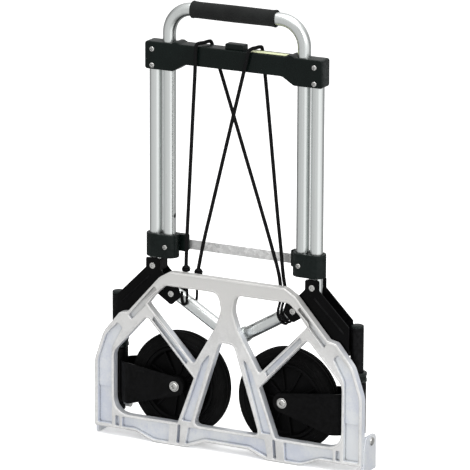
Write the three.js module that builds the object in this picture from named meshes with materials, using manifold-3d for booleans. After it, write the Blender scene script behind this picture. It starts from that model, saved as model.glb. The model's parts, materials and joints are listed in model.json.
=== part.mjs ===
// A folding luggage cart, stored upright with its toe plate and wheels folded in.
// Millimetres. +Z is up, +X is towards the right tube, and the toe plate is on the -Y side.
// The origin is under the middle of the cart, on the ground.
import * as THREE from "three";
import { mergeVertices } from "three/addons/utils/BufferGeometryUtils.js";
import Module from "manifold-3d";

const wasm = await Module();
wasm.setup();

// Driving dimensions.
const TUBE_RADIUS = 10.75; // every round tube on the cart
const TUBE_WALL = 1.5;
const FIXED_X = 146.2; // the outer tube, which stays still
const HANDLE_X = 121.7; // the inner tube, which slides
const SLIDE_GAP = 0.35; // round a tube that slides or turns in a bore
const TOUCH_GAP = 0.35; // between two pieces that are screwed together

const HANDLE_TOP_Z = 727; // centre of the handle's top bar
const HANDLE_FOOT_Z = 314;
const HANDLE_BEND = 42;
const BEND_STEPS = 6;
const HANDLE_STEPS = 2 * BEND_STEPS + 3; // one for each leg and one for the bar
const HANDLE_TRAVEL = 272; // how far the handle pulls out
const GRIP_LENGTH = 151;
const GRIP_MIDDLE_X = -3.5;
const GRIP_RADIUS = 13.6;

const CROSSBAR_END_X = 160;
const CROSSBAR_DEPTH = 28;
const CROSSBAR_TOP_Z = 670;
const CROSSBAR_LOBE_Z = 624; // under the tubes
const CROSSBAR_MIDDLE_Z = 637;
const SCREW_Z = [657.5, 631];

const LOCK_Z = 653; // height of the pins that hold the handle out
const LOCK_PIN_RADIUS = 3.2;
const LOCK_STROKE = 5;

const COLLAR_Z = [311, 350];
const COLLAR_RADIUS = 16;
const STRIP_Z = [322, 338];

const POST_X = 218.5; // the wheel forks turn about the posts
const POST_Y = 4;
const POST_Z = [37, 236];
const BRACKET_HALF = 14; // half the depth of a side bracket
const SHEET = 2.5; // thickness of pressed steel
const UPPER_BOLT = [145.5, 295.8];
const LOWER_BOLT = [111.2, 252.5];
const BRACE_LOW_Z = 187; // where the two brace tubes meet

const PLATE_HALF = 245;
const PLATE_FRONT_Y = -32;
const PLATE_BACK_Y = -17;
const PLATE_TOP_Z = 294.5;
const PLATE_FOOT_Z = 13.8; // the straight part of the bottom edge
const PLATE_SKIN = 4.5; // thickness left behind a pocket
const TOE_AXIS_Z = 49;
const EAR_X = [242, 246.5];
const EAR_BACK_Y = 21;
const EAR_TOP_Z = 60;
const TOE_PIN_RADIUS = 4;

const AXLE_X = 98.8;
const AXLE_Z = 99.6;
const AXLE_RADIUS = 5;
const WHEEL_RADIUS = 87.9;
const WHEEL_HALF = 15.5;
const RIM_RADIUS = 64;
const FORK_HALF = 26; // outside half width of the fork
const FORK_BEND_X = 183; // centre of the fork's bend
const FORK_BEND_Z = [58, 127];
const FORK_NOSE = 16.5;
const SLEEVE_RADIUS = 15.5;
const SLEEVE_Z = [60, 143];

const CORD_RADIUS = 3;

// Shapes and solids.

function outline(points, holes = []) {
  // Points are [x, y] or [x, y, corner radius].
  const shape = new THREE.Shape();
  const count = points.length;
  points.forEach(([x, y, radius = 0], i) => {
    const here = new THREE.Vector2(x, y);
    const before = new THREE.Vector2(...points[(i + count - 1) % count]).sub(here);
    const after = new THREE.Vector2(...points[(i + 1) % count]).sub(here);
    const half = Math.abs(Math.atan2(before.cross(after), before.dot(after))) / 2;
    const back = radius / Math.tan(half);
    const start = here.clone().addScaledVector(before.normalize(), back);
    const end = here.clone().addScaledVector(after.normalize(), back);
    if (i === 0) shape.moveTo(start.x, start.y);
    else shape.lineTo(start.x, start.y);
    if (radius > 0) shape.quadraticCurveTo(x, y, end.x, end.y);
  });
  shape.closePath();
  shape.holes = holes;
  return shape;
}

function circle(radius, x = 0, y = 0) {
  const shape = new THREE.Shape();
  shape.absarc(x, y, radius, 0, 2 * Math.PI);
  return shape;
}

function ring(outer, inner) {
  const shape = circle(outer);
  shape.holes.push(circle(inner));
  return shape;
}

function mirroredPoints(points) {
  return [...points, ...points.map(([x, ...rest]) => [-x, ...rest]).reverse()];
}

function upright(shape, fromY, toY, curveSegments = 3) {
  // A shape drawn in X and Z, as thick as fromY to toY.
  const geometry = new THREE.ExtrudeGeometry(shape, {
    depth: toY - fromY,
    bevelEnabled: false,
    curveSegments,
  });
  return geometry.rotateX(Math.PI / 2).translate(0, toY, 0);
}

function standing(shape, fromZ, toZ, curveSegments = 9) {
  // A shape drawn in X and Y, as tall as fromZ to toZ.
  const geometry = new THREE.ExtrudeGeometry(shape, {
    depth: toZ - fromZ,
    bevelEnabled: false,
    curveSegments,
  });
  return geometry.translate(0, 0, fromZ);
}

function between(shape, start, end, curveSegments = 9) {
  // A shape pushed along a straight line from start to end.
  const from = new THREE.Vector3(...start);
  const along = new THREE.Vector3(...end).sub(from);
  const geometry = new THREE.ExtrudeGeometry(shape, {
    depth: along.length(),
    bevelEnabled: false,
    curveSegments,
  });
  const turn = new THREE.Quaternion().setFromUnitVectors(
    new THREE.Vector3(0, 0, 1),
    along.normalize(),
  );
  return geometry.applyQuaternion(turn).translate(from.x, from.y, from.z);
}

function rod(radius, start, end, curveSegments = 8) {
  return between(circle(radius), start, end, curveSegments);
}

function pipe(outer, inner, start, end) {
  return between(ring(outer, inner), start, end);
}

function box(fromCorner, toCorner) {
  const size = toCorner.map((to, i) => to - fromCorner[i]);
  const middle = toCorner.map((to, i) => (to + fromCorner[i]) / 2);
  return new THREE.BoxGeometry(...size).translate(...middle);
}

function swept(shape, curve, steps, curveSegments = 4) {
  return new THREE.ExtrudeGeometry(shape, { steps, extrudePath: curve, curveSegments });
}

function mirrored(geometry) {
  const copy = geometry.index ? geometry.toNonIndexed() : geometry.clone();
  copy.deleteAttribute("normal");
  copy.deleteAttribute("uv");
  const place = copy.attributes.position.array;
  for (let i = 0; i < place.length; i += 9) {
    for (let k = 0; k < 3; k++) {
      [place[i + 3 + k], place[i + 6 + k]] = [place[i + 6 + k], place[i + 3 + k]];
    }
  }
  for (let i = 0; i < place.length; i += 3) place[i] = -place[i];
  return copy;
}

function solidOf(geometry) {
  const bare = geometry.clone();
  bare.deleteAttribute("normal");
  bare.deleteAttribute("uv");
  const merged = mergeVertices(bare, 1e-4);
  return new wasm.Manifold(
    new wasm.Mesh({
      numProp: 3,
      vertProperties: new Float32Array(merged.attributes.position.array),
      triVerts: new Uint32Array(merged.index.array),
    }),
  );
}

function geometryOf(solid) {
  const mesh = solid.getMesh();
  const geometry = new THREE.BufferGeometry();
  geometry.setAttribute("position", new THREE.BufferAttribute(mesh.vertProperties, 3));
  geometry.setIndex(new THREE.BufferAttribute(mesh.triVerts, 1));
  const faceted = geometry.toNonIndexed();
  faceted.computeVertexNormals();
  return faceted;
}

function join(first, ...others) {
  return geometryOf(others.reduce((sum, next) => sum.add(solidOf(next)), solidOf(first)));
}

function cut(first, ...tools) {
  return geometryOf(tools.reduce((rest, tool) => rest.subtract(solidOf(tool)), solidOf(first)));
}

// Materials.

function finish(color, roughness, metalness) {
  return new THREE.MeshStandardMaterial({ color, roughness, metalness });
}

const anodised = finish(0xc9ccce, 0.35, 1);
const castAluminium = finish(0xd6d7db, 0.5, 0.9);
const galvanised = finish(0x9a9a9a, 0.55, 0.9);
const zinc = finish(0xd8d8d2, 0.3, 1);
const springSteel = finish(0x8c8f94, 0.3, 1);
const blackPlastic = finish(0x161a19, 0.5, 0);
const blackSteel = finish(0x101112, 0.4, 0.3);
const rubber = finish(0x131313, 0.8, 0);
const rimPlastic = finish(0x0c0d0d, 0.45, 0);
const foam = finish(0x1e2020, 0.95, 0);
const cordBlack = finish(0x0d0d0e, 0.8, 0);
const paleLabel = finish(0xdfe8a8, 0.5, 0);

const cart = new THREE.Group();

function add(name, geometry, material) {
  const mesh = new THREE.Mesh(geometry, material);
  mesh.name = name;
  cart.add(mesh);
}

function addPair(name, rightGeometry, material) {
  add(`${name}_right`, rightGeometry, material);
  add(`${name}_left`, mirrored(rightGeometry), material);
}

// Crossbar: two plastic shells screwed to the outer tubes, hollow in the middle for the lock.

const boreRadius = TUBE_RADIUS + SLIDE_GAP;
const shellWall = 3;

const crossbarShape = outline(
  mirroredPoints([
    [CROSSBAR_END_X, CROSSBAR_TOP_Z, 5],
    [CROSSBAR_END_X, CROSSBAR_LOBE_Z, 5],
    [109, CROSSBAR_LOBE_Z, 10],
    [88, CROSSBAR_MIDDLE_Z, 14],
  ]),
);

const crossbarRise = outline([
  [93, CROSSBAR_TOP_Z - 1],
  [101, CROSSBAR_TOP_Z + 3, 5],
  [106, CROSSBAR_TOP_Z + 3, 5],
  [112, CROSSBAR_TOP_Z - 1],
]);

const lockChamber = box([-92, -9, 642], [92, 9, CROSSBAR_TOP_Z - shellWall]);
const buttonSlot = box([-18, -8.6, CROSSBAR_TOP_Z - 6], [18, 8.6, CROSSBAR_TOP_Z + 6]);

function crossbarShell(fromY, toY) {
  const fixedBores = [-1, 1].map((s) =>
    rod(TUBE_RADIUS + TOUCH_GAP, [s * FIXED_X, 0, 600], [s * FIXED_X, 0, CROSSBAR_TOP_Z - 2.5], 9),
  );
  const handleBores = [-1, 1].map((s) =>
    rod(boreRadius, [s * HANDLE_X, 0, 600], [s * HANDLE_X, 0, 700], 9),
  );
  const pinBores = rod(LOCK_PIN_RADIUS + 0.5, [-115, 0, LOCK_Z], [115, 0, LOCK_Z]);
  const screwHoles = [-1, 1].flatMap((s) =>
    SCREW_Z.map((z) => rod(2.6, [s * FIXED_X, -20, z], [s * FIXED_X, 12.4, z], 6)),
  );
  const rise = upright(crossbarRise, fromY, toY);
  const body = join(upright(crossbarShape, fromY, toY), rise, mirrored(rise));
  const cuts = [...fixedBores, ...handleBores, pinBores, ...screwHoles, lockChamber, buttonSlot];
  return cut(body, ...cuts);
}

const partingGap = 0.2;
add("crossbar_front_shell", crossbarShell(-CROSSBAR_DEPTH / 2, -partingGap), blackPlastic);
add("crossbar_rear_shell", crossbarShell(partingGap, CROSSBAR_DEPTH / 2), blackPlastic);

function panScrew(x, y, z, headRadius, shankRadius, length) {
  // The head lies on the -Y side, with a round driver socket.
  const headHeight = headRadius * 0.55;
  const profile = [
    [0, -length],
    [shankRadius, -length],
    [shankRadius, 0],
    [headRadius, 0],
    [headRadius, headHeight * 0.45],
    [headRadius * 0.62, headHeight],
    [headRadius * 0.42, headHeight],
    [headRadius * 0.3, headHeight * 0.4],
    [0, headHeight * 0.4],
  ].map(([r, h]) => new THREE.Vector2(r, h));
  return new THREE.LatheGeometry(profile, 10).rotateX(Math.PI).translate(x, y, z);
}

let screwNumber = 1;
for (const s of [-1, 1]) {
  for (const z of SCREW_Z) {
    const y = -CROSSBAR_DEPTH / 2 - TOUCH_GAP;
    add(`crossbar_screw_${screwNumber}`, panScrew(s * FIXED_X, y, z, 4.4, 2.2, 26), zinc);
    screwNumber += 1;
  }
}

const strip = box([30, -9.5, CROSSBAR_TOP_Z + 0.3], [93, 3, CROSSBAR_TOP_Z + 1.1]);
add("label_strip", strip, paleLabel);

// Fixed tubes, with cross holes for the crossbar screws and the bracket bolts.

const innerRadius = TUBE_RADIUS - TUBE_WALL;
const boltRadius = 4;

function crossHole(x, z, radius) {
  return rod(radius, [x, -20, z], [x, 20, z], 8);
}

const fixedTube = cut(
  pipe(TUBE_RADIUS, innerRadius, [FIXED_X, 0, 282], [FIXED_X, 0, CROSSBAR_TOP_Z - 3]),
  ...SCREW_Z.map((z) => crossHole(FIXED_X, z, 2.6)),
  crossHole(...UPPER_BOLT, boltRadius + TOUCH_GAP),
);
addPair("frame_tube", fixedTube, anodised);

// Handle: one bent tube, a foam grip, and sliding collars tied by a flat strip.

const barHalf = HANDLE_X - HANDLE_BEND;
const bendStartZ = HANDLE_TOP_Z - HANDLE_BEND;
class HandleLine extends THREE.Curve {
  // One step along each straight stretch and BEND_STEPS round each bend.
  getPoint(t, target = new THREE.Vector3()) {
    const step = t * HANDLE_STEPS;
    const half = HANDLE_STEPS / 2;
    const s = step < half ? -1 : 1;
    const fromFoot = step < half ? step : HANDLE_STEPS - step;
    if (fromFoot <= 1) {
      return target.set(s * HANDLE_X, 0, THREE.MathUtils.lerp(HANDLE_FOOT_Z, bendStartZ, fromFoot));
    }
    if (fromFoot <= 1 + BEND_STEPS) {
      const angle = ((fromFoot - 1) / BEND_STEPS) * (Math.PI / 2);
      const x = barHalf + HANDLE_BEND * Math.cos(angle);
      return target.set(s * x, 0, bendStartZ + HANDLE_BEND * Math.sin(angle));
    }
    const alongBar = (fromFoot - 1 - BEND_STEPS) / 0.5;
    return target.set(s * barHalf * (1 - alongBar), 0, HANDLE_TOP_Z);
  }
  getPointAt(u, target) {
    return this.getPoint(u, target);
  }
  getTangentAt(u, target) {
    return this.getTangent(u, target);
  }
}

const lockHoleZ = LOCK_Z - HANDLE_TRAVEL;
const handleTube = cut(
  swept(ring(TUBE_RADIUS, innerRadius), new HandleLine(), HANDLE_STEPS, 9),
  rod(LOCK_PIN_RADIUS + 0.8, [-HANDLE_X + 4, 0, lockHoleZ], [HANDLE_X - 4, 0, lockHoleZ], 8),
);
add("handle_tube", handleTube, anodised);

const flaredGrip = [
  [TUBE_RADIUS + TOUCH_GAP, -GRIP_LENGTH / 2],
  [GRIP_RADIUS + 0.9, -GRIP_LENGTH / 2],
  [GRIP_RADIUS + 0.9, -GRIP_LENGTH / 2 + 2],
  [GRIP_RADIUS, -GRIP_LENGTH / 2 + 6],
  [GRIP_RADIUS, GRIP_LENGTH / 2 - 6],
  [GRIP_RADIUS + 0.9, GRIP_LENGTH / 2 - 2],
  [GRIP_RADIUS + 0.9, GRIP_LENGTH / 2],
  [TUBE_RADIUS + TOUCH_GAP, GRIP_LENGTH / 2],
  [TUBE_RADIUS + TOUCH_GAP, -GRIP_LENGTH / 2],
].map(([r, h]) => new THREE.Vector2(r, h));
const gripGeometry = new THREE.LatheGeometry(flaredGrip, 18);
add("foam_grip", gripGeometry.rotateZ(-Math.PI / 2).translate(GRIP_MIDDLE_X, 0, HANDLE_TOP_Z), foam);

// A collar is screwed to the handle's leg and slides on the fixed tube beside it.

const collarShape = new THREE.Shape();
collarShape.absarc(FIXED_X, 0, COLLAR_RADIUS, -Math.PI / 2, Math.PI / 2);
collarShape.absarc(HANDLE_X, 0, COLLAR_RADIUS, Math.PI / 2, (3 * Math.PI) / 2);
collarShape.closePath();
const stripY = [20.4, 22];
const tieX = 102; // the strip's rivets
const tieZ = (STRIP_Z[0] + STRIP_Z[1]) / 2;
const collarTab = box([95, 9.5, tieZ - 10], [HANDLE_X - 6, stripY[0] - TOUCH_GAP, COLLAR_Z[1] - 2]);
const collar = cut(
  join(standing(collarShape, ...COLLAR_Z, 6), collarTab),
  rod(boreRadius, [FIXED_X, 0, 300], [FIXED_X, 0, 360], 9),
  rod(boreRadius, [HANDLE_X, 0, 300], [HANDLE_X, 0, 360], 9),
  rod(2.6, [HANDLE_X, -20, tieZ], [HANDLE_X, 0, tieZ], 6),
  rod(2.6, [tieX, 0, tieZ], [tieX, 25, tieZ], 6),
);
addPair("slide_collar", collar, blackPlastic);

const collarScrewY = -COLLAR_RADIUS - 0.2;
for (const [side, s] of [["left", -1], ["right", 1]]) {
  const screw = panScrew(s * HANDLE_X, collarScrewY, tieZ, 4.2, 2.2, 4.6);
  add(`collar_screw_${side}`, screw, zinc);
}

const tieStrip = cut(
  box([-112, stripY[0], STRIP_Z[0]], [112, stripY[1], STRIP_Z[1]]),
  ...[-1, 1].map((s) => rod(2.6, [s * tieX, 10, tieZ], [s * tieX, 25, tieZ], 6)),
);
add("tie_strip", tieStrip, galvanised);
addPair(
  "strip_rivet",
  join(
    rod(2.2, [tieX, 11, tieZ], [tieX, stripY[1] + 1.4, tieZ], 8),
    rod(4, [tieX, stripY[1] + TOUCH_GAP, tieZ], [tieX, stripY[1] + 1.8, tieZ], 8),
  ),
  zinc,
);

// Side brackets: pressed-steel channels, open outwards, that carry the posts.

const armUpper = UPPER_BOLT[0] + 12.5;
const cheek = [
  [133, 309, 4],
  [armUpper, 309, 3],
  [armUpper, 292.5, 2],
  [212, 238.5],
  [212, 181.5],
  [141, 252.5, 4],
  [LOWER_BOLT[0], 233, 6],
  [94, 249, 8],
  [98, 266, 14],
  [122, 281, 14],
  [133, 292, 8],
];
const frontCheek = upright(outline(cheek), -BRACKET_HALF, -BRACKET_HALF + SHEET);
const backCheek = cut(
  upright(outline(cheek), BRACKET_HALF - SHEET, BRACKET_HALF),
  box([206.5, 0, 150], [220, 20, 260]),
);
const innerWeb = box([132.2, -BRACKET_HALF, 287], [134.7, BRACKET_HALF, 307]);
const lowerWeb = upright(
  outline([
    [148, 246.5],
    [207, 187.5],
    [207, 191],
    [148, 250],
  ]),
  -BRACKET_HALF,
  BRACKET_HALF,
);
const sideBracket = cut(
  join(frontCheek, backCheek, innerWeb, lowerWeb),
  crossHole(...UPPER_BOLT, boltRadius + TOUCH_GAP),
  crossHole(...LOWER_BOLT, boltRadius + TOUCH_GAP),
);
addPair("side_bracket", sideBracket, blackSteel);

function throughBolt(x, z, fromY, toY, radius, headRadius) {
  // A socket head on the -Y side and a hexagonal nut on the far side.
  const headHeight = headRadius * 0.55;
  const nutHeight = headRadius * 0.6;
  const head = cut(
    new THREE.CylinderGeometry(headRadius, headRadius * 0.82, headHeight, 12)
      .translate(x, fromY - headHeight / 2, z),
    new THREE.CylinderGeometry(headRadius * 0.45, headRadius * 0.45, headHeight, 6)
      .translate(x, fromY - headHeight * 0.95, z),
  );
  const nut = new THREE.CylinderGeometry(headRadius, headRadius, nutHeight, 6)
    .translate(x, toY + nutHeight / 2, z);
  const shank = rod(radius, [x, fromY - 0.5, z], [x, toY + nutHeight + 1, z], 8);
  return join(head, shank, nut);
}

const boltFromY = -BRACKET_HALF - TOUCH_GAP;
const boltToY = BRACKET_HALF + TOUCH_GAP;
addPair("bracket_bolt", throughBolt(...UPPER_BOLT, boltFromY, boltToY, boltRadius, 5.6), zinc);
addPair("brace_bolt", throughBolt(...LOWER_BOLT, boltFromY, boltToY, boltRadius, 5.6), zinc);

// Brace: two tubes that meet low in the middle, in a pressed joint.

const braceEnd = [LOWER_BOLT[0], 0, LOWER_BOLT[1]];
const braceAlong = new THREE.Vector3(LOWER_BOLT[0], 0, LOWER_BOLT[1] - BRACE_LOW_Z).normalize();
function onBrace(x) {
  const t = x / braceAlong.x;
  return [x, 0, BRACE_LOW_Z + t * braceAlong.z];
}
const braceTube = cut(
  pipe(TUBE_RADIUS, innerRadius, onBrace(9), onBrace(braceEnd[0] + 9)),
  crossHole(...LOWER_BOLT, boltRadius + TOUCH_GAP),
);
addPair("brace_tube", braceTube, anodised);
const jointSleeve = (s) => rod(TUBE_RADIUS + 2, [0, 0, BRACE_LOW_Z], onBraceSide(s, 22), 9);
function onBraceSide(s, x) {
  const [px, py, pz] = onBrace(x);
  return [s * px, py, pz];
}
const jointBore = (s) => rod(TUBE_RADIUS + TOUCH_GAP, onBraceSide(s, 8.5), onBraceSide(s, 40), 9);
add("brace_joint", cut(join(jointSleeve(-1), jointSleeve(1)), jointBore(-1), jointBore(1)), anodised);

// Posts: upright tubes at the sides, with a domed cap and a collar that keeps the fork down.

const [postFoot, postHead] = POST_Z;
const post = cut(
  pipe(TUBE_RADIUS, innerRadius, [POST_X, POST_Y, postFoot], [POST_X, POST_Y, postHead]),
  rod(TOE_PIN_RADIUS + TOUCH_GAP, [200, POST_Y, TOE_AXIS_Z], [240, POST_Y, TOE_AXIS_Z], 8),
);
addPair("post", post, blackSteel);
const capProfile = [
  [0, 0],
  [TUBE_RADIUS, 0],
  [TUBE_RADIUS, 2],
  [TUBE_RADIUS - 1.2, 3.4],
  [0, 4.4],
].map(([r, h]) => new THREE.Vector2(r, h));
const cap = new THREE.LatheGeometry(capProfile, 18).rotateX(Math.PI / 2);
addPair("post_cap", cap.translate(POST_X, POST_Y, postHead + TOUCH_GAP), blackPlastic);
const keeper = pipe(SLEEVE_RADIUS + 1, boreRadius, [POST_X, POST_Y, 146], [POST_X, POST_Y, 162]);
addPair("post_collar", keeper, blackPlastic);

const toePin = join(
  rod(TOE_PIN_RADIUS, [202, POST_Y, TOE_AXIS_Z], [EAR_X[1] + 1, POST_Y, TOE_AXIS_Z], 8),
  rod(7, [EAR_X[1] + TOUCH_GAP, POST_Y, TOE_AXIS_Z], [EAR_X[1] + 2.4, POST_Y, TOE_AXIS_Z], 8),
  rod(6.4, [196, POST_Y, TOE_AXIS_Z], [204, POST_Y, TOE_AXIS_Z], 3),
);
addPair("toe_pin", toePin, zinc);

// Lock: the button's wedge draws two spring-loaded pins in from the handle's legs.

const buttonHead = outline([
  [17, CROSSBAR_TOP_Z + 9, 2],
  [17, CROSSBAR_TOP_Z - 7],
  [-17, CROSSBAR_TOP_Z - 7],
  [-17, CROSSBAR_TOP_Z + 9, 2],
]);
const buttonStem = outline([
  [9, CROSSBAR_TOP_Z - 7.5],
  [9, CROSSBAR_TOP_Z - 4],
  [-9, CROSSBAR_TOP_Z - 4],
  [-9, CROSSBAR_TOP_Z - 7.5],
]);
add("release_button", join(upright(buttonHead, -8, 8), upright(buttonStem, -5, 5)), blackPlastic);

const pinTip = HANDLE_X - TUBE_RADIUS - 0.5;
const lockPin = join(
  rod(LOCK_PIN_RADIUS, [22, 0, LOCK_Z], [pinTip, 0, LOCK_Z], 8),
  rod(6.5, [70, 0, LOCK_Z], [73, 0, LOCK_Z], 8),
  box([14, -3, LOCK_Z - 5], [24, 3, LOCK_Z + 4]),
);
addPair("lock_pin", lockPin, zinc);

class Helix extends THREE.Curve {
  constructor(radius, length, turns) {
    super();
    Object.assign(this, { radius, length, turns });
  }
  getPoint(t, target = new THREE.Vector3()) {
    const angle = 2 * Math.PI * this.turns * t;
    const x = this.radius * Math.cos(angle);
    const y = this.radius * Math.sin(angle);
    return target.set(x, y, this.length * t);
  }
}

function spring(radius, wire, length, turns) {
  return swept(circle(wire), new Helix(radius, length, turns), turns * 7, 2);
}

const lockSpring = spring(4.9, 0.6, 7.6, 4);
addPair("lock_spring", lockSpring.rotateY(Math.PI / 2).translate(56, 0, LOCK_Z), springSteel);
add("button_spring", spring(3.4, 0.6, 17, 5).translate(0, 0, 644), springSteel);

// Toe plate: a casting, open between its ribs, with an ear at each side for its hinge pin.

const plateEdge = mirroredPoints([
  [39, PLATE_FOOT_Z, 12],
  [74, 0, 26],
  [134, 0, 26],
  [169, PLATE_FOOT_Z, 12],
  [PLATE_HALF, PLATE_FOOT_Z, 4],
  [PLATE_HALF, 128, 50],
  [228, 178, 40],
  [198, 214, 8],
  [183, 217, 6],
  [124, 283, 22],
  [105, PLATE_TOP_Z, 16],
]);

const middleOpening = outline(mirroredPoints([[60.5, 40, 9], [13, 187, 12]]));
const pentagon = (grow) => [
  [90 - grow, 40 - grow, 3 + grow],
  [209 + grow, 40 - grow, 30 + grow],
  [209 + grow, 146 + grow / 2, 26 + grow],
  [147, 214 + grow * 1.5, 8 + grow],
  [60 - grow * 1.2, 121 + grow * 0.3, 3 + grow],
];
const trapezoid = (grow) => [
  [60, 145 - grow * 1.4, 4 + grow],
  [148 + grow * 1.5, 237, 8 + grow],
  [113 + grow / 2, 270.5 + grow, 14 + grow],
  [16 - grow, 270.5 + grow, 16 + grow],
  [10 - grow, 243, 30 + grow],
  [20 - grow, 213, 12 + grow],
];
const openings = [pentagon(0), trapezoid(0)].flatMap((points) => [
  outline(points),
  outline(points.map(([x, ...rest]) => [-x, ...rest]).reverse()),
]);

const pocketTo = PLATE_BACK_Y - PLATE_SKIN;
function pocket(points, floor = pocketTo) {
  return upright(outline(points), PLATE_FRONT_Y - 1, floor);
}
const pockets = [
  // Side rail, upper and lower.
  [[214, 84, 2], [238, 84, 2], [238, 128, 30], [222, 172, 20], [201, 196, 4], [192, 186, 4], [214, 152, 20]],
  [[214, 20, 2], [238, 20, 2], [238, 80, 2], [214, 80, 2]],
  // Bottom rail, on each side of the leg's foot.
  [[102, 18, 3], [198, 18, 3], [198, 35, 3], [98, 35, 3]],
  [[2, 18, 3], [78, 18, 3], [74, 35, 3], [2, 35, 3]],
  // Sloping rail beside the shoulder.
  [[134, 268, 3], [182, 211, 3], [176, 203, 3], [140, 243, 4], [128, 262, 4]],
  // Strut.
  [[75, 141, 2], [139, 208, 2], [136, 215, 2], [131, 217, 2], [70, 150, 2]],
  // Leg, from the web to the foot.
  [[28, 172, 4], [47, 146, 4], [83, 45, 3], [66, 45, 3]],
];

const ear = join(
  box([EAR_X[0], PLATE_BACK_Y - 6, 8], [EAR_X[1], EAR_BACK_Y, EAR_TOP_Z]),
  box([EAR_X[0], PLATE_BACK_Y - 6, 0], [EAR_X[1], EAR_BACK_Y, 12]),
);
const plateBody = upright(outline(plateEdge, openings.concat([middleOpening])), PLATE_FRONT_Y, PLATE_BACK_Y);
const pocketTools = pockets.flatMap((points) => {
  const right = pocket(points);
  return [right, mirrored(right)];
});
const earHole = rod(TOE_PIN_RADIUS + TOUCH_GAP, [230, POST_Y, TOE_AXIS_Z], [255, POST_Y, TOE_AXIS_Z], 8);
const toePlate = cut(
  join(plateBody, ear, mirrored(ear)),
  ...pocketTools,
  earHole,
  mirrored(earHole),
);
add("toe_plate", toePlate, castAluminium);

// Wheel forks: a strip bent round the wheel, welded to a sleeve that turns on the post.

const [bendLow, bendHigh] = FORK_BEND_Z;
const forkSide = new THREE.Shape();
forkSide.moveTo(FORK_BEND_X, bendLow);
forkSide.lineTo(214, bendLow);
forkSide.lineTo(214, bendHigh);
forkSide.lineTo(FORK_BEND_X, bendHigh);
forkSide.lineTo(AXLE_X + 2, AXLE_Z + FORK_NOSE);
forkSide.absarc(AXLE_X, AXLE_Z, FORK_NOSE, Math.PI / 2, (3 * Math.PI) / 2, false);
forkSide.closePath();

function forkPlan(half, reach) {
  const shape = new THREE.Shape();
  shape.moveTo(reach, -half);
  shape.lineTo(FORK_BEND_X, -half);
  shape.absarc(FORK_BEND_X, 0, half, -Math.PI / 2, Math.PI / 2);
  shape.lineTo(reach, half);
  shape.closePath();
  return shape;
}

const forkStrip = cut(
  standing(forkPlan(FORK_HALF, 60), 40, 150, 8),
  standing(forkPlan(FORK_HALF - SHEET, 50), 30, 160, 8),
);
const forkBlank = geometryOf(
  solidOf(forkStrip).intersect(solidOf(upright(forkSide, -FORK_HALF - 1, FORK_HALF + 1, 8))),
);
const sleeve = rod(SLEEVE_RADIUS, [POST_X, POST_Y, SLEEVE_Z[0]], [POST_X, POST_Y, SLEEVE_Z[1]], 9);
const sleeveBore = rod(boreRadius, [POST_X, POST_Y, 40], [POST_X, POST_Y, 160], 9);
const axleHole = rod(AXLE_RADIUS + TOUCH_GAP, [AXLE_X, -40, AXLE_Z], [AXLE_X, 40, AXLE_Z], 8);
const fork = cut(join(forkBlank, sleeve), sleeveBore, axleHole);
addPair("wheel_fork", fork, blackSteel);

const axleBolt = join(
  rod(AXLE_RADIUS, [AXLE_X, -FORK_HALF - 1, AXLE_Z], [AXLE_X, FORK_HALF + 6, AXLE_Z], 8),
  cut(
    new THREE.CylinderGeometry(7, 5.8, 3.6, 12).translate(AXLE_X, -FORK_HALF - TOUCH_GAP - 1.8, AXLE_Z),
    new THREE.CylinderGeometry(2.8, 2.8, 3, 6).translate(AXLE_X, -FORK_HALF - 4, AXLE_Z),
  ),
);
addPair("axle_bolt", axleBolt, zinc);
const axleNut = cut(
  new THREE.CylinderGeometry(8, 8, 4.4, 6).translate(AXLE_X, FORK_HALF + TOUCH_GAP + 2.2, AXLE_Z),
  axleHole,
);
addPair("axle_nut", axleNut, zinc);

// Wheels.

function turned(profile, segments) {
  const points = profile.map(([r, y]) => new THREE.Vector2(r, y));
  return new THREE.LatheGeometry(points, segments).translate(AXLE_X, 0, AXLE_Z);
}
const shoulder = WHEEL_HALF - 5;
const tyre = turned([
  [RIM_RADIUS + 0.4, -12],
  [RIM_RADIUS + 10, -WHEEL_HALF],
  [WHEEL_RADIUS - 6, -WHEEL_HALF + 0.5],
  [WHEEL_RADIUS - 1.2, -shoulder],
  [WHEEL_RADIUS, -4],
  [WHEEL_RADIUS, 4],
  [WHEEL_RADIUS - 1.2, shoulder],
  [WHEEL_RADIUS - 6, WHEEL_HALF - 0.5],
  [RIM_RADIUS + 10, WHEEL_HALF],
  [RIM_RADIUS + 0.4, 12],
  [RIM_RADIUS + 0.4, -12],
], 32);
addPair("tyre", tyre, rubber);
const hubBore = AXLE_RADIUS + TOUCH_GAP;
const rim = turned([
  [hubBore, -18],
  [15, -18],
  [17, -9],
  [RIM_RADIUS - 8, -6],
  [RIM_RADIUS - 5, -13],
  [RIM_RADIUS, -13],
  [RIM_RADIUS, 13],
  [RIM_RADIUS - 5, 13],
  [RIM_RADIUS - 8, 6],
  [17, 9],
  [15, 18],
  [hubBore, 18],
  [hubBore, -18],
], 24);
addPair("wheel_rim", rim, rimPlastic);

// Bungee cords, stretched over the crossbar between hooks on the brace tubes.

class Route extends THREE.CatmullRomCurve3 {
  // As many steps between each two points of the route.
  getPointAt(u, target) {
    return this.getPoint(u, target);
  }
  getTangentAt(u, target) {
    return this.getTangent(u, target);
  }
}

function cord(points) {
  const corners = points.map((p) => new THREE.Vector3(...p));
  const steps = 3 * (points.length - 1);
  return swept(circle(CORD_RADIUS), new Route(corners, false, "centripetal"), steps, 4);
}

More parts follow.
